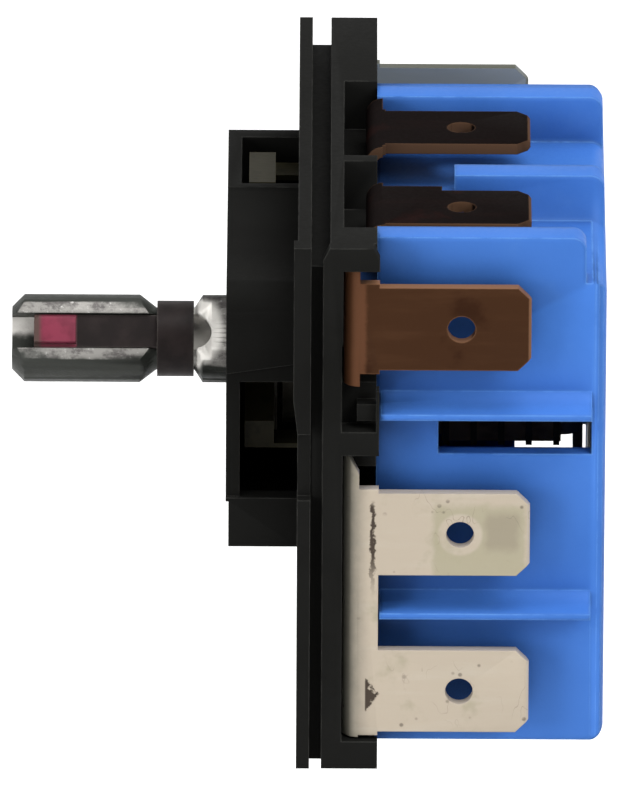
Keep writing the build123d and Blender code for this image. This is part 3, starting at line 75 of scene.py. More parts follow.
Colour = tuple[float, float, float]
Triple = tuple[float, float, float]
Span = tuple[float, float]
Socket = bpy.types.NodeSocket
Piece = bpy.types.Object


class Body(Enum):
    """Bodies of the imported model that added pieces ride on."""

    SWITCH = "switch_body"
    CAM = "cam_body"
    SHAFT = "shaft_body"


class Axis(Enum):
    """Axes of the part that the finishes follow, as rows of a coordinate."""

    Y = 1
    Z = 2


class Kind(Enum):
    """Kinds of mesh parts that can be selected."""

    EDGE = "EDGE"
    FACE = "FACE"


class Wiring:
    """Node tree of one material, with short calls for what the finishes share."""

    def __init__(self, name: str) -> None:
        """Starts a material with one Principled shader.

        Args:
            name: Name of the material.
        """
        self.material = bpy.data.materials.new(name)
        self.material.use_nodes = True
        self.tree = self.material.node_tree
        self.tree.nodes.clear()
        output = self.tree.nodes.new("ShaderNodeOutputMaterial")
        self.shader = self.tree.nodes.new("ShaderNodeBsdfPrincipled")
        self.link(self.shader.outputs["BSDF"], output.inputs["Surface"])
        self.coordinates = self.tree.nodes.new("ShaderNodeTexCoord")

    def link(self, source: Socket, target: Socket) -> None:
        """Joins two sockets."""
        self.tree.links.new(source, target)

    def feed(self, value: object, target: Socket) -> None:
        """Links a socket to the target, or sets a plain number or colour on it.

        Args:
            value: A socket, a number or a colour of three numbers.
            target: The socket that takes it.
        """
        if isinstance(value, Socket):
            self.link(value, target)
        elif isinstance(value, (int, float)):
            target.default_value = value
        elif len(target.default_value) == 4:
            target.default_value = (*value, 1.0)
        else:
            target.default_value = value

    def set(self, **values: object) -> None:
        """Feeds inputs of the shader, named with underscores for spaces."""
        for name, value in values.items():
            self.feed(value, self.shader.inputs[name.replace("_", " ")])

    def node(self, kind: str, **values: object) -> bpy.types.Node:
        """Adds a node and feeds its inputs, named with underscores for spaces.

        Args:
            kind: Type of the node, without its prefix.
            values: Number, colour, vector or socket for each input.

        Returns:
            The node.
        """
        node = self.tree.nodes.new(f"ShaderNode{kind}")
        for name, value in values.items():
            self.feed(value, node.inputs[name.replace("_", " ")])
        return node

    def place(self, stretch: Triple) -> Socket:
        """Object coordinates, stretched by a factor on each axis."""
        whole = self.coordinates.outputs["Object"]
        return self.node("Mapping", Vector=whole, Scale=stretch).outputs["Vector"]

    def noise(
        self, grain_mm: float, detail: float = 3.0, roughness: float = 0.55, stretch: Triple = WHOLE
    ) -> Socket:
        """Cloudy noise with patches of about the given size.

        Args:
            grain_mm: Size of a patch.
            detail: Octaves.
            roughness: Strength of the finer octaves.
            stretch: Factor on each axis, under 1 for long patches.

        Returns:
            The value socket, about 0 to 1.
        """
        node = self.node("TexNoise", Scale=1.0 / (grain_mm * MM), Vector=self.place(stretch))
        node.inputs["Detail"].default_value = detail
        node.inputs["Roughness"].default_value = roughness
        return node.outputs["Fac"]

    def specks(self, spacing_mm: float, stretch: Triple = WHOLE) -> Socket:
        """Distance to scattered points that lie about as far apart as given."""
        node = self.node("TexVoronoi", Scale=1.0 / (spacing_mm * MM), Vector=self.place(stretch))
        return node.outputs["Distance"]

    def range(self, value: object, low: float, high: float) -> Socket:
        """Soft step from 0 at low to 1 at high, or the other way round where low is the larger.

        Args:
            value: Number or socket.
            low: Value that gives 0.
            high: Value that gives 1.

        Returns:
            The value socket.
        """
        node = self.node("MapRange", Value=value, From_Min=min(low, high), From_Max=max(low, high))
        node.interpolation_type = "SMOOTHSTEP"
        node.inputs["To Min"].default_value = 0.0 if low < high else 1.0
        node.inputs["To Max"].default_value = 1.0 if low < high else 0.0
        return node.outputs["Result"]

    def math(self, operation: str, first: object, second: object, kind: str = "Math") -> Socket:
        """One arithmetic step.

        Args:
            operation: Name of the node's operation.
            first: Number, vector or socket.
            second: Number, vector or socket.
            kind: Type of the node, Math or VectorMath.

        Returns:
            The value socket.
        """
        node = self.node(kind)
        node.operation = operation
        self.feed(first, node.inputs[0])
        self.feed(second, node.inputs[1])
        return node.outputs["Value"]

    def absolute(self, value: object) -> Socket:
        """Value of a number or socket without its sign."""
        return self.math("ABSOLUTE", value, 0.0)

    def times(self, first: object, second: object) -> Socket:
        """Product of two numbers or sockets."""
        return self.math("MULTIPLY", first, second)

    def plus(self, first: object, second: object) -> Socket:
        """Sum of two numbers or sockets."""
        return self.math("ADD", first, second)

    def less(self, first: object, second: object) -> Socket:
        """First number or socket less the second."""
        return self.math("SUBTRACT", first, second)

    def larger(self, first: object, second: object) -> Socket:
        """Larger one of two numbers or sockets."""
        return self.math("MAXIMUM", first, second)

    def vector(self, operation: str, first: Socket, second: object) -> Socket:
        """Vector step that gives a number."""
        return self.math(operation, first, second, "VectorMath")

    def mix(self, factor: object, first: object, second: object) -> Socket:
        """Blend of two colours.

        Args:
            factor: Number or socket, 0 for the first.
            first: Colour or socket.
            second: Colour or socket.

        Returns:
            The colour socket.
        """
        node = self.node("Mix")
        node.data_type = "RGBA"
        self.feed(factor, node.inputs[0])
        self.feed(first, node.inputs[6])
        self.feed(second, node.inputs[7])
        return node.outputs[2]

    def vary(self, factor: object, low: float, high: float) -> Socket:
        """Number from low, where the factor is 0, to high, where it is 1."""
        return self.node("MapRange", Value=factor, To_Min=low, To_Max=high).outputs["Result"]

    def along(self, axis: Axis) -> Socket:
        """Place along one axis, in metres."""
        return self.node("SeparateXYZ", Vector=self.coordinates.outputs["Object"]).outputs[axis.value]

    def reach(self, direction: Triple) -> Socket:
        """Place along a direction of length 1, in metres."""
        return self.vector("DOT_PRODUCT", self.coordinates.outputs["Object"], direction)

    def facing(self, direction: Triple) -> Socket:
        """How squarely the surface faces a direction of length 1, from -1 to 1."""
        return self.vector("DOT_PRODUCT", self.coordinates.outputs["Normal"], direction)

    def near(self, centre_mm: Triple, radius_mm: float, softness_mm: float) -> Socket:
        """Mask that is 1 round a place and falls to 0 outside it.

        Args:
            centre_mm: The place.
            radius_mm: Radius of the full mask.
            softness_mm: Width of its border.

        Returns:
            The value socket.
        """
        centre = [v * MM for v in centre_mm]
        distance = self.vector("DISTANCE", self.coordinates.outputs["Object"], centre)
        return self.range(distance, (radius_mm + softness_mm) * MM, radius_mm * MM)

    def rounded(self, width_mm: float, samples: int) -> Socket:
        """Normal of the surface with its edges rounded.

        Args:
            width_mm: Radius of the rounding.
            samples: Samples of the Bevel node.

        Returns:
            The normal socket.
        """
        node = self.node("Bevel", Radius=width_mm * MM)
        node.samples = samples
        return node.outputs["Normal"]

    def edges(self, width_mm: float) -> Socket:
        """Mask of the edges, for wear, for painted highlights and, on the shaft and the grey tin, for painted
        shade.

        Args:
            width_mm: Reach of the mask from an edge.

        Returns:
            The value socket.
        """
        plain = self.node("NewGeometry").outputs["Normal"]
        likeness = self.vector("DOT_PRODUCT", self.rounded(width_mm, EDGE_SAMPLES), plain)
        return self.range(likeness, *EDGE_LIKENESS)

    def hollows(self, reach_mm: float) -> Socket:
        """Mask of corners and hollows, where the plastics take painted shade.

        Args:
            reach_mm: Distance within which another surface counts.

        Returns:
            The value socket, 1 deep in a hollow.
        """
        node = self.node("AmbientOcclusion", Distance=reach_mm * MM)
        node.samples = HOLLOW_SAMPLES
        return self.range(node.outputs["AO"], *HOLLOW_OPENNESS)

    def bump(self, height: object, depth_mm: float, strength: float, rounding_mm: float = 0.0) -> None:
        """Gives the shader a relief.

        Args:
            height: Socket of the height, about 0 to 1.
            depth_mm: Depth of the relief.
            strength: Share of it that shows.
            rounding_mm: Radius by which edges look rounded under it.
        """
        node = self.node("Bump", Distance=depth_mm * MM, Strength=strength, Height=height)
        if rounding_mm:
            self.link(self.rounded(rounding_mm, ROUNDING_SAMPLES), node.inputs["Normal"])
        self.set(Normal=node.outputs["Normal"])


@dataclass(frozen=True)
class Finish:
    """Finish of a piece.

    Attributes:
        name: Name of the material.
    """

    name: str

    def wire(self, w: Wiring) -> None:
        """Wires the finish, each kind in its own way."""
        raise NotImplementedError

    def material(self) -> bpy.types.Material:
        """Builds the material.

        Returns:
            The new material.
        """
        w = Wiring(self.name)
        self.wire(w)
        return w.material


@dataclass(frozen=True)
class MouldedPlastic(Finish):
    """Moulded thermoset or thermoplastic with a fine skin, dust, worn edges with painted highlight and
    painted shade in hollows.

    Attributes:
        colour: Colour of a clean face.
        shade: Colour of its darker clouds.
        edge: Colour of the edges, worn and lightened further as painted highlight.
        roughness: Roughness of a clean face.
        specular: Specular level.
        dust: Share of the dust.
        dust_colour: Colour of the dust.
        edge_mm: Width of such an edge.
        rounding_mm: Radius of the moulded edges.
        hollow_shade: Share of the colour that painted shade takes in hollows.
        pins: Places of the round marks that ejector pins leave.
        pin_radius: Radius of such a mark.
    """

    colour: Colour
    shade: Colour
    edge: Colour
    roughness: float
    specular: float
    dust: float
    dust_colour: Colour
    edge_mm: float
    rounding_mm: float
    hollow_shade: float
    pins: tuple[Triple, ...] = ()
    pin_radius: float = 1.3

    def wire(self, w: Wiring) -> None:
        """Wires the finish.

        Args:
            w: Wiring of the material.
        """
        clouds = w.range(w.noise(9.0, 4.0), 0.35, 0.7)
        body = w.mix(clouds, self.colour, self.shade)
        fine = w.noise(0.35, 2.0)
        dust = w.times(w.range(w.noise(3.2, 6.0, 0.7), 0.52, 0.8), self.dust)
        dusted = w.mix(dust, body, self.dust_colour)
        # Painted shade: ambient occlusion darkens corners, hollows and places under and behind other parts;
        # the pin rings are real marks.
        dark = w.times(w.hollows(5.0), self.hollow_shade)
        for place in self.pins:
            outer = w.near(place, self.pin_radius + 0.08, 0.1)
            ring = w.less(outer, w.near(place, self.pin_radius, 0.1))
            dark = w.larger(dark, w.times(ring, 0.5))
        dusted = w.mix(dark, dusted, [c * 0.12 for c in self.shade])
        # Edges lightened by wear and by a painted highlight along the moulded edges.
        edge_wear_and_painted_light = w.times(w.edges(self.edge_mm), w.range(w.noise(1.6, 4.0), 0.25, 0.6))
        w.set(
            Base_Color=w.mix(edge_wear_and_painted_light, dusted, self.edge),
            Roughness=w.vary(w.plus(fine, dust), self.roughness - 0.06, self.roughness + 0.16),
            Specular_IOR_Level=self.specular,
        )
        relief = w.plus(fine, w.times(w.noise(2.4, 2.0), 1.5))
        for place in self.pins:
            relief = w.plus(relief, w.times(w.near(place, self.pin_radius, 0.12), -12.0))
        w.bump(relief, 0.012, 0.5, self.rounding_mm)


@dataclass(frozen=True)
class SheetStrip(Finish):
    """Rolled strip with a plated or tarnished face and sheared edges where the base metal shows.

    Attributes:
        colour: Colour of the face.
        stain: Colour of its larger stains.
        streak: Colour of its streaks.
        bare_and_painted_light: Colour of sheared and worn edges; on the grey tin, painted shade.
        metallic: Metallic share.
        roughness: Roughness of the face.
        stained: Share of the face that the stains cover.
        scratches: Strength of the scratches.
        specular: Specular level of what isn't metallic.
        across: Direction across the strip, in which its sheared edges face.
        fold: Colour of the fold, a painted highlight on the brown copper and painted shade on the tin, or
            None.
        fold_inner: Where along Y that colour is full.
        fold_outer: Where along Y it has faded.
    """

    colour: Colour
    stain: Colour
    streak: Colour
    bare_and_painted_light: Colour
    metallic: float
    roughness: float
    stained: float
    scratches: float
    specular: float
    across: Triple = (0.0, 0.0, 1.0)
    fold: Colour | None = None
    fold_inner: float = 4.2
    fold_outer: float = 5.4

    def worn(self, w: Wiring, colour: Socket) -> Socket:
        """Colour with the strip's wear, of which a plain strip has none."""
        return colour

    def wire(self, w: Wiring) -> None:
        """Wires the finish.

        Args:
            w: Wiring of the material.
        """
        stains = w.range(w.noise(4.5, 4.0, 0.6), 0.72 - 0.35 * self.stained, 0.86 - 0.35 * self.stained)
        face = w.mix(stains, self.colour, self.stain)
        streaks = w.range(w.noise(1.1, 3.0, 0.6, (1.0, 0.14, 1.0)), 0.48, 0.8)
        face = w.mix(w.times(streaks, 0.6), face, self.streak)
        side = w.absolute(w.facing(self.across))
        tip = w.facing((0.0, 1.0, 0.0))
        sheared = w.range(w.larger(side, tip), 0.55, 0.8)
        # Edges take the edge colour: bare sheared and worn metal, and on the grey tin painted shade.
        edge_wear_and_painted_light = w.times(w.edges(0.16), 0.75)
        bare_and_painted_light = w.larger(sheared, edge_wear_and_painted_light)
        colour = w.mix(bare_and_painted_light, face, self.bare_and_painted_light)
        # Painted light on the fold: a painted highlight on the brown copper, painted shade on the tin.
        if self.fold is not None:
            uneven = w.vary(w.noise(0.9, 4.0, 0.6), -0.25 * MM, 0.25 * MM)
            folded = w.plus(w.along(Axis.Y), uneven)
            folded = w.range(folded, self.fold_outer * MM, self.fold_inner * MM)
            colour = w.mix(w.times(folded, 0.92), colour, self.fold)
        fine = w.noise(0.25, 3.0)
        rolled = w.noise(0.5, 2.0, 0.5, (1.0, 0.05, 1.0))
        dullness = w.plus(fine, w.times(bare_and_painted_light, -0.4))
        w.set(
            Base_Color=self.worn(w, colour),
            Metallic=self.metallic,
            Roughness=w.vary(dullness, self.roughness - 0.1, self.roughness + 0.14),
            Specular_IOR_Level=self.specular,
        )
        w.bump(w.plus(rolled, w.times(fine, 0.6)), 0.012, self.scratches, 0.1)


@dataclass(frozen=True)
class WornTinStrip(SheetStrip):
    """Tin-plated strip that is worn where its receptacles and its fold have chafed it.

    Attributes:
        wear: Colour of the worn places.
        patch: Colour of the heat mark round the upper hole.
        shade: Colour of the darker part of the heat mark.
        fold_y: Place of the dark line along the fold.
        line_low: Where along Z that line begins.
        line_high: Where along Z that line ends.
        upper_hole: Centre of the upper tab's hole.
        mark_y: Reach of the heat mark along Y.
        mark_z: Reach of the heat mark along Z.
        shade_y: Reach of its darker part along Y.
        shade_z: Reach of its darker part along Z.
        chip_z: Middle of the three-cornered worn place along Z.
    """

    wear: Colour = (0.036, 0.024, 0.017)
    patch: Colour = (0.335, 0.31, 0.212)
    shade: Colour = (0.27, 0.235, 0.175)
    fold_y: float = 5.42
    line_low: Span = (-11.4, -7.5)
    line_high: Span = (-3.4, -4.0)
    upper_hole: Triple = (21.9, 11.7, -6.1)
    mark_y: Span = (9.8, 16.4)
    mark_z: Span = (-9.6, -3.9)
    shade_y: Span = (13.5, 15.9)
    shade_z: Span = (-7.3, -4.5)
    chip_z: float = -18.6

    def worn(self, w: Wiring, colour: Socket) -> Socket:
        """Adds the worn places and the heat mark.

        Args:
            w: Wiring of the material.
            colour: Colour of the strip.

        Returns:
            The colour with its wear.
        """
        y = w.along(Axis.Y)
        z = w.along(Axis.Z)
        ragged = w.times(w.less(w.noise(0.7, 4.0, 0.7), 0.5), 0.9 * MM)
        crease = w.absolute(w.less(w.plus(y, ragged), self.fold_y * MM))
        line = w.range(crease, 0.2 * MM, 0.08 * MM)
        begin, end = (w.range(z, *[v * MM for v in span]) for span in (self.line_low, self.line_high))
        worn = w.times(line, w.times(begin, end))
        worn = w.larger(worn, self.chip(w, y, z, ragged))
        pits = w.times(w.range(w.specks(1.3), 0.16, 0.08), w.range(w.noise(3.0, 2.0), 0.48, 0.6))
        scratches = w.absolute(w.less(w.noise(1.6, 2.0, 0.5, (1.0, 1.0, 0.6)), 0.5))
        scratches = w.range(scratches, 0.006, 0.002)
        scratches = w.times(scratches, w.range(w.noise(4.0, 2.0), 0.5, 0.62))
        marks = w.larger(w.times(pits, 0.6), w.times(scratches, 0.35))
        worn = w.larger(worn, marks)
        mark = self.blot(w, 1.4, 0.5, (y, self.mark_y, 0.25), (z, self.mark_z, 0.35))
        mark = w.times(mark, w.less(1.0, w.near(self.upper_hole, 1.45, 0.3)))
        colour = w.mix(w.times(mark, 0.75), colour, self.patch)
        mark = self.blot(w, 1.1, 0.4, (y, self.shade_y, 0.35), (z, self.shade_z, 0.5))
        colour = w.mix(w.times(mark, 0.7), colour, self.shade)
        return w.mix(w.times(worn, 0.96), colour, self.wear)

    def blot(self, w: Wiring, grain_mm: float, sway_mm: float, *ends: tuple[object, Span, float]) -> Socket:
        """Area of the face with a wavy border.

        Args:
            w: Wiring of the material.
            grain_mm: Size of the border's waves.
            sway_mm: How far the border wanders.
            ends: For each axis the place along it, the span and half the width of a soft end.

        Returns:
            The mask.
        """
        sway = w.vary(w.noise(grain_mm, 4.0, 0.6), -sway_mm * MM, sway_mm * MM)
        masks = []
        for place, (low, high), soft in ends:
            place = w.plus(place, sway)
            rise = w.range(place, (low - soft) * MM, (low + soft) * MM)
            masks.append(w.times(rise, w.range(place, (high + soft) * MM, (high - soft) * MM)))
        return w.times(*masks)

    def chip(self, w: Wiring, y: object, z: object, ragged: object) -> Socket:
        """Three-cornered worn place beside the lower tab's fold.

        Args:
            w: Wiring of the material.
            y: Place along Y.
            z: Place along Z.
            ragged: Small irregular offset.

        Returns:
            The mask.
        """
        off = w.absolute(w.less(z, self.chip_z * MM))
        slope = w.plus(y, w.times(off, 0.66))
        inner = w.range(w.plus(slope, ragged), 5.98 * MM, 5.82 * MM)
        mask = w.times(inner, w.range(y, 4.9 * MM, 5.0 * MM))
        mask = w.times(mask, w.range(off, 1.4 * MM, 1.15 * MM))
        return w.times(mask, w.range(w.noise(0.45, 3.0, 0.6), 0.32, 0.44))


@dataclass(frozen=True)
class ZincBar(Finish):
    """Zinc shaft, bright and mottled where light is painted on it, dark where shade is painted on it.

    Attributes:
        bright: Colour of the zinc where light is painted on it.
        shaded_zinc: Colour of the zinc where shade is painted on it, and of its edges.
        smudge: Colour of the dark smudges.
        roughness: Roughness of the zinc.
        fleck: Colour of the light flecks.
        bare_and_painted_light: Colour of the slot's floor and rear end, lighter there as painted light.
        collar: Where along Y the collar begins.
        slot_end: Rear end of the slot.
        slot_front: Front end of the slot.
    """

    bright: Colour
    shaded_zinc: Colour
    smudge: Colour
    roughness: float
    fleck: Colour = (0.42, 0.41, 0.39)
    bare_and_painted_light: Colour = (0.66, 0.64, 0.6)
    collar: Span = (-7.2, -6.6)
    slot_end: Triple = (1.2, -7.4, 0.9)
    slot_front: Triple = (2.0, -20.0, 1.0)

    def wire(self, w: Wiring) -> None:
        """Wires the finish.

        Args:
            w: Wiring of the material.
        """
        flat = (math.cos(SHAFT_TURN), 0.0, math.sin(SHAFT_TURN))
        # Painted light: faces turned like the flat, toward the lamps, take the bright zinc; the rest takes
        # the dark zinc as painted shade.
        highlight_and_wear = w.range(w.plus(w.facing(flat), w.vary(w.noise(0.8, 3.0), -0.06, 0.06)), 0.86, 0.96)
        mottle = w.range(w.noise(0.9, 5.0, 0.7, (1.0, 0.6, 1.0)), 0.44, 0.64)
        bright = w.mix(mottle, self.bright, self.smudge)
        bright = w.mix(w.range(w.noise(0.5, 4.0, 0.7), 0.58, 0.7), bright, self.fleck)
        # Painted shade: edges darkened to stand in for the dark reflections of the chamfers.
        bright = w.mix(w.times(w.edges(0.18), 0.8), bright, self.shaded_zinc)
        # Painted light on the upper half of the collar and on the slot's rear end.
        behind_ring = w.range(w.along(Axis.Y), *[v * MM for v in self.collar])
        seat = w.times(w.range(w.facing(flat), 0.4, 0.62), behind_ring)
        slot_end = w.near(self.slot_end, 2.3, 0.5)
        highlight_and_wear = w.larger(highlight_and_wear, w.larger(seat, slot_end))
        # Painted light on the slot's floor near its front and on its rear end.
        in_slot = w.times(w.near(self.slot_front, 2.6, 0.6), w.range(w.facing(flat), 0.9, 0.97))
        in_slot = w.times(in_slot, w.range(w.reach(flat), 2.2 * MM, 2.0 * MM))
        bright = w.mix(w.larger(in_slot, slot_end), bright, self.bare_and_painted_light)
        w.set(
            Base_Color=w.mix(highlight_and_wear, self.shaded_zinc, bright),
            Metallic=0.3,
            Specular_IOR_Level=0.2,
            Roughness=w.vary(w.noise(0.6, 4.0), self.roughness - 0.08, self.roughness + 0.22),
        )
        w.bump(w.plus(w.noise(0.7, 4.0), w.noise(0.16, 2.0)), 0.03, 0.7)


@dataclass(frozen=True)
class ClipPlastic(Finish):
    """Maroon clip, crimson on its raised pad.

    Attributes:
        body: Colour of the ring and the tongue.
        pad: Colour of the pad.
        pad_front: Front end of the pad along Y.
        pad_rear: Rear end of the pad along Y.
        tip: Colour of the pad's front end.
        highlight_and_wear: Colour of the edges, worn and lightened further as painted highlight.
    """

    body: Colour
    pad: Colour
    pad_front: float
    pad_rear: float
    tip: Colour = (0.075, 0.045, 0.04)
    highlight_and_wear: Colour = (0.075, 0.066, 0.06)

    def wire(self, w: Wiring) -> None:
        """Wires the finish.

        Args:
            w: Wiring of the material.
        """
        y = w.along(Axis.Y)
        on_pad = w.range(y, (self.pad_rear + 0.12) * MM, (self.pad_rear - 0.12) * MM)
        body = w.mix(w.range(w.noise(2.0, 4.0), 0.35, 0.65), self.body, [c * 0.55 for c in self.body])
        pad = w.mix(w.range(w.noise(1.2, 3.0), 0.4, 0.7), self.pad, [c * 0.72 for c in self.pad])
        front = w.range(y, (self.pad_front + 0.7) * MM, (self.pad_front + 0.25) * MM)
        pad = w.mix(front, pad, self.tip)
        # Edges lightened by wear and by a painted highlight.
        worn = w.times(w.edges(0.2), 0.75)
        w.set(
            Base_Color=w.mix(worn, w.mix(on_pad, body, pad), self.highlight_and_wear),
            Roughness=w.vary(w.noise(0.5, 3.0), 0.4, 0.58),
            Specular_IOR_Level=0.1,
        )
        w.bump(w.noise(0.4, 3.0), 0.012, 0.5)


@dataclass(frozen=True)
class PlainMetal(Finish):
    """Small metal piece with rolling or turning marks, some tarnish and bright edges.

    Attributes:
        colour: Colour of the clean metal.
        tarnish: Colour of the tarnish.
        roughness: Roughness of the clean metal.
        tarnished: Share of the tarnish.
        metallic: Metallic share.
        along: Stretch of the marks on each axis.
        specular: Specular level of what isn't metallic.
        brightening: Factor on the colour at the edges.
    """

    colour: Colour
    tarnish: Colour
    roughness: float
    tarnished: float
    metallic: float = 1.0
    along: Triple = (1.0, 0.2, 1.0)
    specular: float = 0.5
    brightening: float = 1.5

    def wire(self, w: Wiring) -> None:
        """Wires the finish.

        Args:
            w: Wiring of the material.
        """
        clouds = w.range(w.noise(1.8, 4.0, 0.65), 0.7 - 0.4 * self.tarnished, 0.9 - 0.4 * self.tarnished)
        colour = w.mix(clouds, self.colour, self.tarnish)
        bright = [min(1.0, c * self.brightening) for c in self.colour]
        # Edges lightened: wear, and on the shaded brass a painted highlight.
        colour = w.mix(w.times(w.edges(0.08), 0.6), colour, bright)
        marks = w.noise(0.22, 3.0, 0.6, self.along)
        w.set(
            Base_Color=colour,
            Metallic=self.metallic,
            Roughness=w.vary(marks, self.roughness - 0.08, self.roughness + 0.14),
            Specular_IOR_Level=self.specular,
        )
        w.bump(marks, 0.01, 0.5)


@dataclass(frozen=True)
class FiredCeramic(Finish):
    """Unglazed ceramic with a chalky grain.

    Attributes:
        colour: Colour of the ceramic.
    """

    colour: Colour

    def wire(self, w: Wiring) -> None:
        """Wires the finish.

        Args:
            w: Wiring of the material.
        """
        grain = w.noise(0.15, 4.0, 0.7)
        w.set(
            Base_Color=w.mix(w.range(grain, 0.4, 0.7), self.colour, [c * 0.85 for c in self.colour]),
            Roughness=w.vary(grain, 0.7, 0.9),
        )
        w.bump(grain, 0.015, 0.6)


@dataclass(frozen=True)
class LayeredMica(Finish):
    """Pressed mica card with flaky layers.

    Attributes:
        colour: Colour of the card.
        flake: Colour of its flakes.
    """

    colour: Colour
    flake: Colour

    def wire(self, w: Wiring) -> None:
        """Wires the finish.

        Args:
            w: Wiring of the material.
        """
        flakes = w.range(w.specks(0.9, (1.0, 0.5, 1.0)), 0.3, 0.6)
        w.set(
            Base_Color=w.mix(flakes, self.colour, self.flake),
            Roughness=w.vary(flakes, 0.35, 0.6),
            Specular_IOR_Level=0.45,
        )
        w.bump(w.plus(flakes, w.noise(0.3, 3.0)), 0.01, 0.6)


# Edges lightened by wear and painted highlight; hollows darkened as painted shade.
BLACK_THERMOSET = MouldedPlastic(
    "black_thermoset",
    colour=(0.0098, 0.0098, 0.0091), shade=(0.0074, 0.0074, 0.0068), edge=(0.062, 0.062, 0.057),
    roughness=0.6, specular=0.02, dust=0.2, dust_colour=(0.013, 0.013, 0.011),
    edge_mm=0.12, rounding_mm=0.14, hollow_shade=0.3,
    pins=((-19.5, 0.0, -9.0), (19.5, 0.0, -9.0), (0.0, 0.0, -20.0)), pin_radius=1.2,
)
# Edges lightened by wear and painted highlight; hollows darkened as painted shade.
BLUE_THERMOPLASTIC = MouldedPlastic(
    "blue_thermoplastic",
    colour=(0.05, 0.165, 0.53), shade=(0.042, 0.147, 0.485), edge=(0.12, 0.3, 0.7),
    roughness=0.45, specular=0.12, dust=0.1, dust_colour=(0.12, 0.27, 0.6),
    edge_mm=0.22, rounding_mm=0.55, hollow_shade=0.8, pin_radius=1.4,
    pins=((-13.0, 22.1, 7.0), (13.0, 22.1, 7.0), (-6.5, 22.1, -17.5), (6.5, 22.1, -17.5), (0.0, 22.1, -9.5)),
)
# Painted shade: ivory nylon darkened to the tone it shows deep inside the switch.
SHADED_IVORY = MouldedPlastic(
    "shaded_ivory_nylon",
    colour=(0.14, 0.128, 0.1), shade=(0.09, 0.081, 0.06), edge=(0.24, 0.225, 0.185),
    roughness=0.45, specular=0.4, dust=0.15, dust_colour=(0.17, 0.155, 0.12),
    edge_mm=0.15, rounding_mm=0.1, hollow_shade=0.9,
)
# Painted shade: copper faces near black and without reflection, standing in for the dark reflections they
# show; sheared edges keep the copper colour.
SHADED_TOP_COPPER = SheetStrip(
    "shaded_top_copper",
    colour=(0.0038, 0.0023, 0.0021), stain=(0.009, 0.0033, 0.0028), streak=(0.007, 0.0035, 0.0031),
    bare_and_painted_light=(0.088, 0.048, 0.028), across=(1.0, 0.0, 0.0),
    metallic=0.0, roughness=0.6, stained=0.4, scratches=0.5, specular=0.01,
)
# Fold colour: painted highlight on the lit bend.
SIDE_COPPER = SheetStrip(
    "side_copper",
    colour=(0.041, 0.0165, 0.0065), stain=(0.026, 0.009, 0.003), streak=(0.062, 0.027, 0.012),
    bare_and_painted_light=(0.19, 0.095, 0.05),
    metallic=0.05, roughness=0.5, stained=0.5, scratches=0.6, specular=0.06,
    fold=(0.1, 0.042, 0.02), fold_inner=4.7, fold_outer=5.1,
)
# Fold colour: painted shade on the roll of the bend.
TIN_STRIP = WornTinStrip(
    "tin_strip",
    colour=(0.44, 0.378, 0.3), stain=(0.365, 0.325, 0.24), streak=(0.47, 0.42, 0.345),
    bare_and_painted_light=(0.44, 0.385, 0.325),
    metallic=0.12, roughness=0.5, stained=0.45, scratches=0.6, specular=0.15,
    fold=(0.1, 0.1, 0.082), fold_inner=3.3, fold_outer=5.5,
)
# Painted shade: the same tin as the near pair, darkened and greyed as in shade, with its edges painted darker
# still.
SHADED_TIN = SheetStrip(
    "grey_tin",
    colour=(0.24, 0.275, 0.31), stain=(0.17, 0.2, 0.22), streak=(0.28, 0.3, 0.32),
    bare_and_painted_light=(0.075, 0.078, 0.06),
    metallic=0.15, roughness=0.5, stained=0.4, scratches=0.5, specular=0.15,
)
# Painted light on the flat side, collar and slot; painted shade on the rounded side and the edges.
ZINC = ZincBar(
    "zinc_bar",
    bright=(0.24, 0.232, 0.216), shaded_zinc=(0.029, 0.031, 0.027), smudge=(0.09, 0.083, 0.08), roughness=0.42,
)
# Edges lightened by wear and painted highlight.
CLIP = ClipPlastic(
    "maroon_clip", body=(0.017, 0.012, 0.0115), pad=(0.19, 0.03, 0.055), pad_front=-19.1, pad_rear=-16.05
)
BRASS = PlainMetal(
    "rolled_brass", (0.26, 0.2, 0.08), (0.1, 0.08, 0.038), roughness=0.4, tarnished=0.5, metallic=0.7
)
# Painted shade and highlight: brass darkened as painted shade, its edges lightened as painted highlight.
SHADED_BRASS = PlainMetal(
    "shaded_brass", (0.024, 0.0215, 0.012), (0.014, 0.0125, 0.008),
    roughness=0.5, tarnished=0.5, metallic=0.0, specular=0.1, brightening=3.5,
)
SPRING_STEEL = PlainMetal(
    "spring_steel", (0.2, 0.205, 0.21), (0.1, 0.095, 0.085), roughness=0.38, tarnished=0.4, metallic=0.7
)
PLATED_STEEL = PlainMetal(
    "plated_steel", (0.3, 0.3, 0.285), (0.15, 0.14, 0.115), roughness=0.42, tarnished=0.45, metallic=0.55
)
SILVER = PlainMetal(
    "silver_contact", (0.6, 0.59, 0.57), (0.34, 0.32, 0.3), roughness=0.3, tarnished=0.35, metallic=0.8
)
BIMETAL = PlainMetal("bimetal_strip", (0.3, 0.27, 0.23), (0.14, 0.13, 0.16), roughness=0.38, tarnished=0.5)
RIBBON = PlainMetal(
    "resistance_ribbon", (0.045, 0.045, 0.05), (0.02, 0.02, 0.024),
    roughness=0.45, tarnished=0.5, metallic=0.8,
)
CERAMIC = FiredCeramic("fired_ceramic", colour=(0.78, 0.76, 0.7))
MICA = LayeredMica("pressed_mica", colour=(0.075, 0.05, 0.04), flake=(0.12, 0.085, 0.065))


def deselect_all() -> None:
    """Leaves edit mode and deselects every object."""
    if bpy.context.object is not None and bpy.context.object.mode != "OBJECT":
        bpy.ops.object.mode_set(mode="OBJECT")
    bpy.ops.object.select_all(action="DESELECT")


def activate(piece: Piece) -> None:
    """Makes one object the only selected and the active one.

    Args:
        piece: The object.
    """
    deselect_all()
    piece.select_set(True)
    bpy.context.view_layer.objects.active = piece


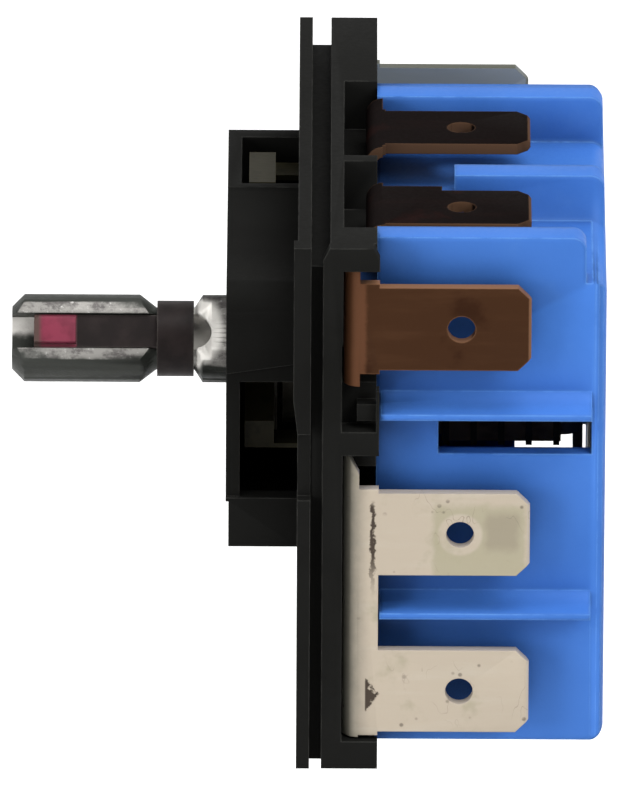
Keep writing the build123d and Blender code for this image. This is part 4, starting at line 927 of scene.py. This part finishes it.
def wear(piece: Piece, material: bpy.types.Material) -> None:
    """Gives a piece one material.

    Args:
        piece: The piece.
        material: Its material.
    """
    piece.data.materials.clear()
    piece.data.materials.append(material)
    for face in piece.data.polygons:
        face.material_index = 0


def select(piece: Piece, kind: Kind, wanted: Callable[[object], bool]) -> int:
    """Selects the edges or the faces that pass a test, in edit mode.

    Args:
        piece: The piece, which is in edit mode.
        kind: What is selected.
        wanted: The test.

    Returns:
        The number of selected edges or faces.
    """
    bpy.ops.mesh.select_mode(type=kind.value)
    bpy.ops.mesh.select_all(action="DESELECT")
    mesh = bmesh.from_edit_mesh(piece.data)
    chosen = [part for part in (mesh.edges if kind is Kind.EDGE else mesh.faces) if wanted(part)]
    for part in chosen:
        part.select = True
    mesh.select_flush_mode()
    bmesh.update_edit_mesh(piece.data)
    return len(chosen)


def merged_copy(node: str, name: str) -> Piece:
    """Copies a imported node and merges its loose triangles.

    Args:
        node: Name of the node.
        name: Name of the copy.

    Returns:
        The copy, in edit mode with all of it selected.
    """
    piece = bpy.data.objects.new(name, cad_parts[node].data.copy())
    bpy.context.scene.collection.objects.link(piece)
    activate(piece)
    bpy.ops.object.mode_set(mode="EDIT")
    bpy.ops.mesh.select_all(action="SELECT")
    bpy.ops.mesh.remove_doubles(threshold=MERGE_DISTANCE)
    return piece


def shade() -> None:
    """Leaves edit mode and smooths all but the sharp edges of the active piece."""
    bpy.ops.object.mode_set(mode="OBJECT")
    bpy.ops.object.shade_smooth_by_angle(angle=SMOOTH_ANGLE)


@dataclass(frozen=True)
class SoftenedNode:
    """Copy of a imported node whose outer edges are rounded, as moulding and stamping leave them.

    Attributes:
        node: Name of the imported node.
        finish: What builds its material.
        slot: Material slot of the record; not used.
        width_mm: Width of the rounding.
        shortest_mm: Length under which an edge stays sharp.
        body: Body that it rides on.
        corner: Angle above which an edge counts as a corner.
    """

    node: str
    finish: Finish
    slot: str
    width_mm: float
    shortest_mm: float
    body: Body = Body.SWITCH
    corner: float = math.radians(38.0)

    def is_corner(self, edge: bmesh.types.BMEdge) -> bool:
        """True for an outer corner edge that is long enough to be rounded."""
        if len(edge.link_faces) != 2 or edge.calc_length() < self.shortest_mm * MM:
            return False
        return edge.is_convex and edge.calc_face_angle(0.0) > self.corner

    def build(self) -> Piece:
        """Makes the copy, rounds it and puts it in the node's place.

        Returns:
            The new piece.
        """
        piece = merged_copy(self.node, f"{self.node}_soft")
        bpy.ops.mesh.dissolve_limited(angle_limit=FLAT_ANGLE)
        count = select(piece, Kind.EDGE, self.is_corner)
        if count:
            bpy.ops.mesh.bevel(
                offset=self.width_mm * MM, segments=2, profile=0.6, affect="EDGES", clamp_overlap=True
            )
        bpy.ops.mesh.select_all(action="SELECT")
        bpy.ops.mesh.dissolve_degenerate(threshold=MERGE_DISTANCE)
        shade()
        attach(piece, self.body.value)
        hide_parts(self.node)
        wear(piece, self.finish.material())
        LOG.info("%s: %d edges rounded, %d faces", piece.name, count, len(piece.data.polygons))
        return piece


@dataclass
class DressedNodes:
    """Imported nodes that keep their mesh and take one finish.

    Attributes:
        nodes: Names of the nodes.
        finish: What builds their material.
    """

    nodes: Sequence[str]
    finish: Finish

    def build(self) -> None:
        """Dresses the nodes."""
        material = self.finish.material()
        for name in self.nodes:
            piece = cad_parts[name]
            wear(piece, material)
            LOG.info("%s: dressed", name)


@dataclass
class Casing:
    """The three mouldings.

    Attributes:
        mouldings: Front cover, terminal carrier and rear housing.
    """

    mouldings: tuple[SoftenedNode, ...] = (
        SoftenedNode("front_cover", BLACK_THERMOSET, "black_plastic", width_mm=0.13, shortest_mm=1.0),
        SoftenedNode("terminal_carrier", BLACK_THERMOSET, "black_plastic", width_mm=0.13, shortest_mm=1.0),
        SoftenedNode("rear_housing", BLUE_THERMOPLASTIC, "blue_plastic", width_mm=0.28, shortest_mm=2.0),
    )

    def build(self) -> None:
        """Builds the mouldings."""
        for moulding in self.mouldings:
            moulding.build()


@dataclass
class BladeTerminals:
    """The five stamped terminals."""

    def build(self) -> None:
        """Builds the terminals with their edges rounded by the stamping."""
        for node, finish, slot in (
            ("terminal_line_out", SHADED_TOP_COPPER, "dark_copper"),
            ("terminal_line_in", SHADED_TOP_COPPER, "dark_copper"),
            ("terminal_heater", SIDE_COPPER, "brown_copper"),
            ("terminal_line_pair", TIN_STRIP, "tin_plate"),
            ("terminal_pilot", SHADED_TIN, "grey_tin"),
        ):
            SoftenedNode(node, finish, slot, width_mm=0.07, shortest_mm=0.3).build()


@dataclass(frozen=True)
class PushSpring:
    """Coil spring under the shaft, which shortens as the knob is pushed; the copy keeps the imported length.

    Attributes:
        seat: Place along Y of the end that stays on the cam; not used.
        front: Place along Y of the end that the shaft pushes; not used.
    """

    seat: float = 3.4
    front: float = 0.3

    def build(self) -> None:
        """Copies the spring and leaves it where the imported one lies, between cam and shaft."""
        coil = merged_copy("push_spring", "push_coil")
        shade()
        wear(coil, SPRING_STEEL.material())
        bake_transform(coil)
        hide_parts("push_spring")
        LOG.info("push_coil: %d faces", len(coil.data.polygons))


@dataclass
class ShaftGroup:
    """Shaft, knob clip, retaining ring and push spring.

    Attributes:
        spring: The push spring.
    """

    spring: PushSpring = PushSpring()

    def build(self) -> None:
        """Builds the shaft with its clip and its spring."""
        SoftenedNode("shaft", ZINC, "zinc", width_mm=0.06, shortest_mm=0.6, body=Body.SHAFT).build()
        SoftenedNode(
            "knob_clip", CLIP, "maroon_plastic", width_mm=0.08, shortest_mm=0.4, body=Body.SHAFT
        ).build()
        self.spring.build()
        DressedNodes(("retaining_ring",), SPRING_STEEL).build()


@dataclass
class Mechanism:
    """Cam, follower, blades, contacts, bimetal and heater."""

    def build(self) -> None:
        """Dresses the inner pieces."""
        for nodes, finish in (
            (("cam", "follower_lever", "line_plunger"), SHADED_IVORY),
            (("line_blade", "snap_blade"), BRASS),
            (("pilot_spring", "pilot_link"), SHADED_BRASS),
            (
                (
                    "line_moving_contact", "line_fixed_contact", "snap_moving_contact",
                    "heater_fixed_contact", "pilot_moving_contact", "pilot_fixed_contact",
                ),
                SILVER,
            ),
            (("bimetal",), BIMETAL),
            (("heater_card",), MICA),
            (("heater_winding",), RIBBON),
            (("push_bead",), CERAMIC),
        ):
            DressedNodes(nodes, finish).build()


def bar(name: str, radius: float, length: float, place: Triple) -> Piece:
    """Adds a round bar along Y.

    Args:
        name: Name of the piece.
        radius: Its radius.
        length: Its length.
        place: Its middle.

    Returns:
        The piece, in edit mode.
    """
    deselect_all()
    bpy.ops.mesh.primitive_cylinder_add(
        vertices=ROUND_SIDES,
        radius=radius * MM,
        depth=length * MM,
        location=[v * MM for v in place],
        rotation=(math.radians(90.0), 0.0, 0.0),
    )
    piece = bpy.context.object
    piece.name = name
    bpy.ops.object.mode_set(mode="EDIT")
    return piece


def furnish_pair(near: Piece, side: float, finish: Finish, node: str) -> None:
    """Settles a turned piece, copies it to the other side and puts both in a node's place.

    Args:
        near: The piece, in edit mode.
        side: Its distance from the middle.
        finish: What builds its material.
        node: Node that the two replace.
    """
    bpy.ops.mesh.select_all(action="SELECT")
    bpy.ops.mesh.remove_doubles(threshold=MERGE_DISTANCE)
    bpy.ops.mesh.normals_make_consistent(inside=False)
    bpy.ops.object.mode_set(mode="OBJECT")
    bpy.ops.object.transform_apply(location=True, rotation=True, scale=True)
    shade()
    wear(near, finish.material())
    far = near.copy()
    far.data = near.data.copy()
    far.name = near.name.replace("near", "far")
    bpy.context.scene.collection.objects.link(far)
    for vertex in far.data.vertices:
        vertex.co += Vector((-2 * side * MM, 0.0, 0.0))
    for piece in (near, far):
        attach(piece, Body.SWITCH.value)
        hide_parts(node)
    LOG.info("%s: %d faces each", node, len(near.data.polygons))


@dataclass(frozen=True)
class AssemblyRivets:
    """The two long rivets through cover, carrier and housing, each with a dished head and a rolled head.

    Attributes:
        side: Distance of a rivet from the middle.
        height: Height of the rivets.
        rear: Place of the rear heads' face.
        shank: Radius of the shank.
        head: Radius of a head.
        thickness: Thickness of a head.
        dish: Radius of the dished middle.
        depth: Depth of the dish.
        chamfer: Height and width of the head's chamfer.
        dish_steps: Shares of the dish's depth, each with the factor on the radius down there.
    """

    side: float = 15.5
    height: float = -20.4
    rear: float = 22.1
    shank: float = 1.2
    head: float = 2.08
    thickness: float = 0.5
    dish: float = 0.95
    depth: float = 0.28
    chamfer: Span = (0.1, 0.12)
    dish_steps: tuple[Span, ...] = ((0.6, 0.86), (0.4, 0.5))

    def form_head(self, piece: Piece, outward: float) -> None:
        """Forms the head at one end of the shank.

        Args:
            piece: The rivet, in edit mode.
            outward: Direction of that end along Y, -1 or 1.
        """
        face_y = 0.0 if outward < 0 else self.rear
        root_y = face_y - outward * self.thickness
        select(piece, Kind.FACE, lambda face: face.normal.z * -outward > SQUARELY)
        rise, inset = self.chamfer
        rim = self.head - inset
        steps = (
            (0.0, self.head / self.shank),
            (self.thickness - rise, 1.0),
            (rise, rim / self.head),
            (0.0, self.dish / rim),
            *((-self.depth * share, factor) for share, factor in self.dish_steps),
        )
        place = root_y
        for rise, factor in steps:
            place += outward * rise
            move = {"value": (0.0, outward * rise * MM, 0.0)}
            bpy.ops.mesh.extrude_region_move(TRANSFORM_OT_translate=move)
            bpy.ops.transform.resize(
                value=(factor, 1.0, factor), center_override=(self.side * MM, place * MM, self.height * MM)
            )

    def build(self) -> None:
        """Models one rivet and copies it to the other side."""
        length = self.rear - 2 * self.thickness
        near = bar("rivet_near", self.shank, length, (self.side, self.rear / 2, self.height))
        self.form_head(near, -1.0)
        self.form_head(near, 1.0)
        furnish_pair(near, self.side, PLATED_STEEL, "assembly_rivets")


@dataclass(frozen=True)
class PanelInserts:
    """The two threaded inserts that take the panel screws.

    Attributes:
        side: Distance of an insert from the middle.
        length: Length of an insert.
        radius: Outer radius.
        crest: Radius of the thread's crests.
        groove: Depth of the thread.
        turns: Number of thread turns.
        lead_in: Width of the countersink at each end.
    """

    side: float = 18.7
    length: float = 2.9
    radius: float = 2.5
    crest: float = 1.45
    groove: float = 0.22
    turns: int = 6
    lead_in: float = 0.16

    def build(self) -> None:
        """Models one insert and copies it to the other side."""
        near = bar("insert_near", self.radius, self.length, (self.side, self.length / 2, 0.0))
        select(near, Kind.FACE, lambda face: abs(face.normal.z) > SQUARELY)
        bpy.ops.mesh.inset(thickness=(self.radius - self.crest - self.lead_in) * MM, depth=0.0)
        bpy.ops.mesh.bridge_edge_loops(number_cuts=2 * self.turns + 1)
        self.cut_thread(near)
        furnish_pair(near, self.side, BRASS, "panel_inserts")

    def cut_thread(self, piece: Piece) -> None:
        """Shapes the rings of the bore into crests and grooves.

        Args:
            piece: The insert, in edit mode.
        """
        rings = 2 * self.turns + 2
        mesh = bmesh.from_edit_mesh(piece.data)
        for vertex in mesh.verts:
            reach = math.hypot(vertex.co.x, vertex.co.y)
            ring = round((vertex.co.z / MM / self.length + 0.5) * rings)
            if reach < (self.radius + self.crest) / 2 * MM and 0 < ring < rings:
                wanted = self.crest if ring % 2 else self.crest + self.groove
                vertex.co.x *= wanted * MM / reach
                vertex.co.y *= wanted * MM / reach
        bmesh.update_edit_mesh(piece.data)


@dataclass
class Fasteners:
    """Rivets, pin, bracket, screw and inserts.

    Attributes:
        rivets: The two long rivets.
        inserts: The two threaded inserts.
    """

    rivets: AssemblyRivets = AssemblyRivets()
    inserts: PanelInserts = PanelInserts()

    def build(self) -> None:
        """Models the rivets and inserts, and dresses the smaller fasteners."""
        self.rivets.build()
        self.inserts.build()
        DressedNodes(
            (
                "follower_pin", "line_blade_rivet", "snap_blade_rivet", "bimetal_bracket",
                "bracket_rivet", "bimetal_rivets", "calibration_screw",
            ),
            PLATED_STEEL,
        ).build()


def white_rays(tree: bpy.types.NodeTree) -> Socket:
    """Mask of the camera, glossy and transmission rays.

    Args:
        tree: The node tree that uses it.

    Returns:
        The value socket, 1 for such a ray.
    """
    path = tree.nodes.new("ShaderNodeLightPath")
    seen = path.outputs["Is Camera Ray"]
    for ray in ("Is Glossy Ray", "Is Transmission Ray"):
        node = tree.nodes.new("ShaderNodeMath")
        node.operation = "MAXIMUM"
        tree.links.new(seen, node.inputs[0])
        tree.links.new(path.outputs[ray], node.inputs[1])
        seen = node.outputs[0]
    return seen


@dataclass(frozen=True)
class Lamp:
    """Round soft lamp that points at the part.

    Attributes:
        name: Name of the lamp.
        place: Where it hangs, in metres.
        size: Its diameter, in metres.
        power: Its power, in watts.
    """

    name: str
    place: Triple
    size: float
    power: float

    def hang(self) -> None:
        """Hangs the lamp."""
        lamp = bpy.data.lights.new(self.name, "AREA")
        lamp.shape = "DISK"
        lamp.size = self.size
        lamp.energy = self.power
        holder = bpy.data.objects.new(self.name, lamp)
        holder.location = self.place
        holder.rotation_euler = (-Vector(self.place)).to_track_quat("-Z", "Y").to_euler()
        bpy.context.scene.collection.objects.link(holder)


@dataclass
class Studio:
    """Pale floor, soft lamps and the camera of the photograph.

    Attributes:
        floor_drop: Height of the floor under the shaft axis, in metres.
        floor_size: Side of the floor, in metres.
        floor_tones: Lightest and darkest tone of the floor.
        elevation: Height of the camera above the horizon, in degrees.
        distance: Distance of the camera, in metres.
        scale: Pixels per millimetre at the shaft axis.
        image: Width and height of the picture, in pixels.
        origin_pixel: Where the shaft axis meets the panel face in the picture.
        roll: Lean of the camera, in degrees.
        sensor: Width of the camera's sensor.
        sight: How far the camera sees, in metres.
        room_light: Strength of the light that comes from everywhere.
        floor_glow: Strength of the floor's own light for the rays that see it as white.
        lamps: Lamps overhead, beside the terminals and beside the shaft.
    """

    floor_drop: float = 0.075
    floor_size: float = 12.0
    floor_tones: Span = (0.78, 0.74)
    elevation: float = 22.5
    distance: float = 1.8
    scale: float = 13.81
    image: tuple[int, int] = (640, 798)
    origin_pixel: tuple[float, float] = (297.8, 339.2)
    roll: float = 0.3
    sensor: float = 36.0
    sight: float = 50.0
    room_light: float = 0.34
    floor_glow: float = 0.45
    lamps: tuple[Lamp, ...] = (
        Lamp("overhead", place=(0.12, 0.2, 0.75), size=0.5, power=5.3),
        Lamp("side", place=(0.6, 0.52, 0.6), size=0.45, power=4.2),
        Lamp("fill", place=(0.62, -0.72, 0.25), size=0.5, power=4.6),
    )

    def lay_floor(self) -> None:
        """Lays the floor, which camera, glossy and transmission rays see as white."""
        deselect_all()
        bpy.ops.mesh.primitive_plane_add(size=self.floor_size, location=(0.0, 0.0, -self.floor_drop))
        floor = bpy.context.object
        floor.name = "floor"
        w = Wiring("pale_floor")
        grain = w.noise(60.0, 3.0)
        tone = w.mix(grain, *[[tone] * 3 for tone in self.floor_tones])
        w.set(Base_Color=tone, Roughness=0.9, Specular_IOR_Level=0.1)
        w.set(Emission_Color=WHITE, Emission_Strength=w.times(white_rays(w.tree), self.floor_glow))
        floor.data.materials.append(w.material)

    def light(self) -> None:
        """Hangs the lamps and sets the soft light of the room."""
        world = bpy.data.worlds.new("room")
        bpy.context.scene.world = world
        world.use_nodes = True
        tree = world.node_tree
        background = tree.nodes["Background"]
        level = tree.nodes.new("ShaderNodeMapRange")
        tree.links.new(white_rays(tree), level.inputs["Value"])
        level.inputs["To Min"].default_value = self.room_light
        level.inputs["To Max"].default_value = 1.0
        tree.links.new(level.outputs["Result"], background.inputs["Strength"])
        background.inputs["Color"].default_value = (*WHITE, 1.0)
        for lamp in self.lamps:
            lamp.hang()

    def aim(self) -> None:
        """Puts the camera where the photograph was taken from."""
        width, height = self.image
        rise = math.radians(self.elevation)
        back = Vector((math.cos(rise), 0.0, math.sin(rise)))
        right = Vector((0.0, 1.0, 0.0))
        up = Vector((-math.sin(rise), 0.0, math.cos(rise)))
        off_x = (width / 2 - self.origin_pixel[0]) / self.scale * MM
        off_y = (self.origin_pixel[1] - height / 2) / self.scale * MM
        target = right * off_x + up * off_y
        data = bpy.data.cameras.new("camera")
        data.sensor_width = self.sensor
        data.lens = self.scale * self.distance / MM * data.sensor_width / max(width, height)
        data.clip_end = self.sight
        camera = bpy.data.objects.new("camera", data)
        camera.location = target + back * self.distance
        turn = (-back).to_track_quat("-Z", "Y") @ Quaternion((0.0, 0.0, 1.0), math.radians(self.roll))
        camera.rotation_euler = turn.to_euler()
        bpy.context.scene.collection.objects.link(camera)
        bpy.context.scene.camera = camera
        bpy.context.scene.view_settings.view_transform = "Standard"

    def build(self) -> None:
        """Builds the studio."""
        self.lay_floor()
        self.light()
        self.aim()


def main() -> None:
    """Builds every sub-assembly in order and reports it."""
    logging.basicConfig(level=logging.INFO, format="%(name)s: %(message)s")
    for assembly in (Casing(), BladeTerminals(), ShaftGroup(), Mechanism(), Fasteners(), Studio()):
        assembly.build()
        LOG.info("%s built", type(assembly).__name__)


if __name__ == "__main__":
    main()
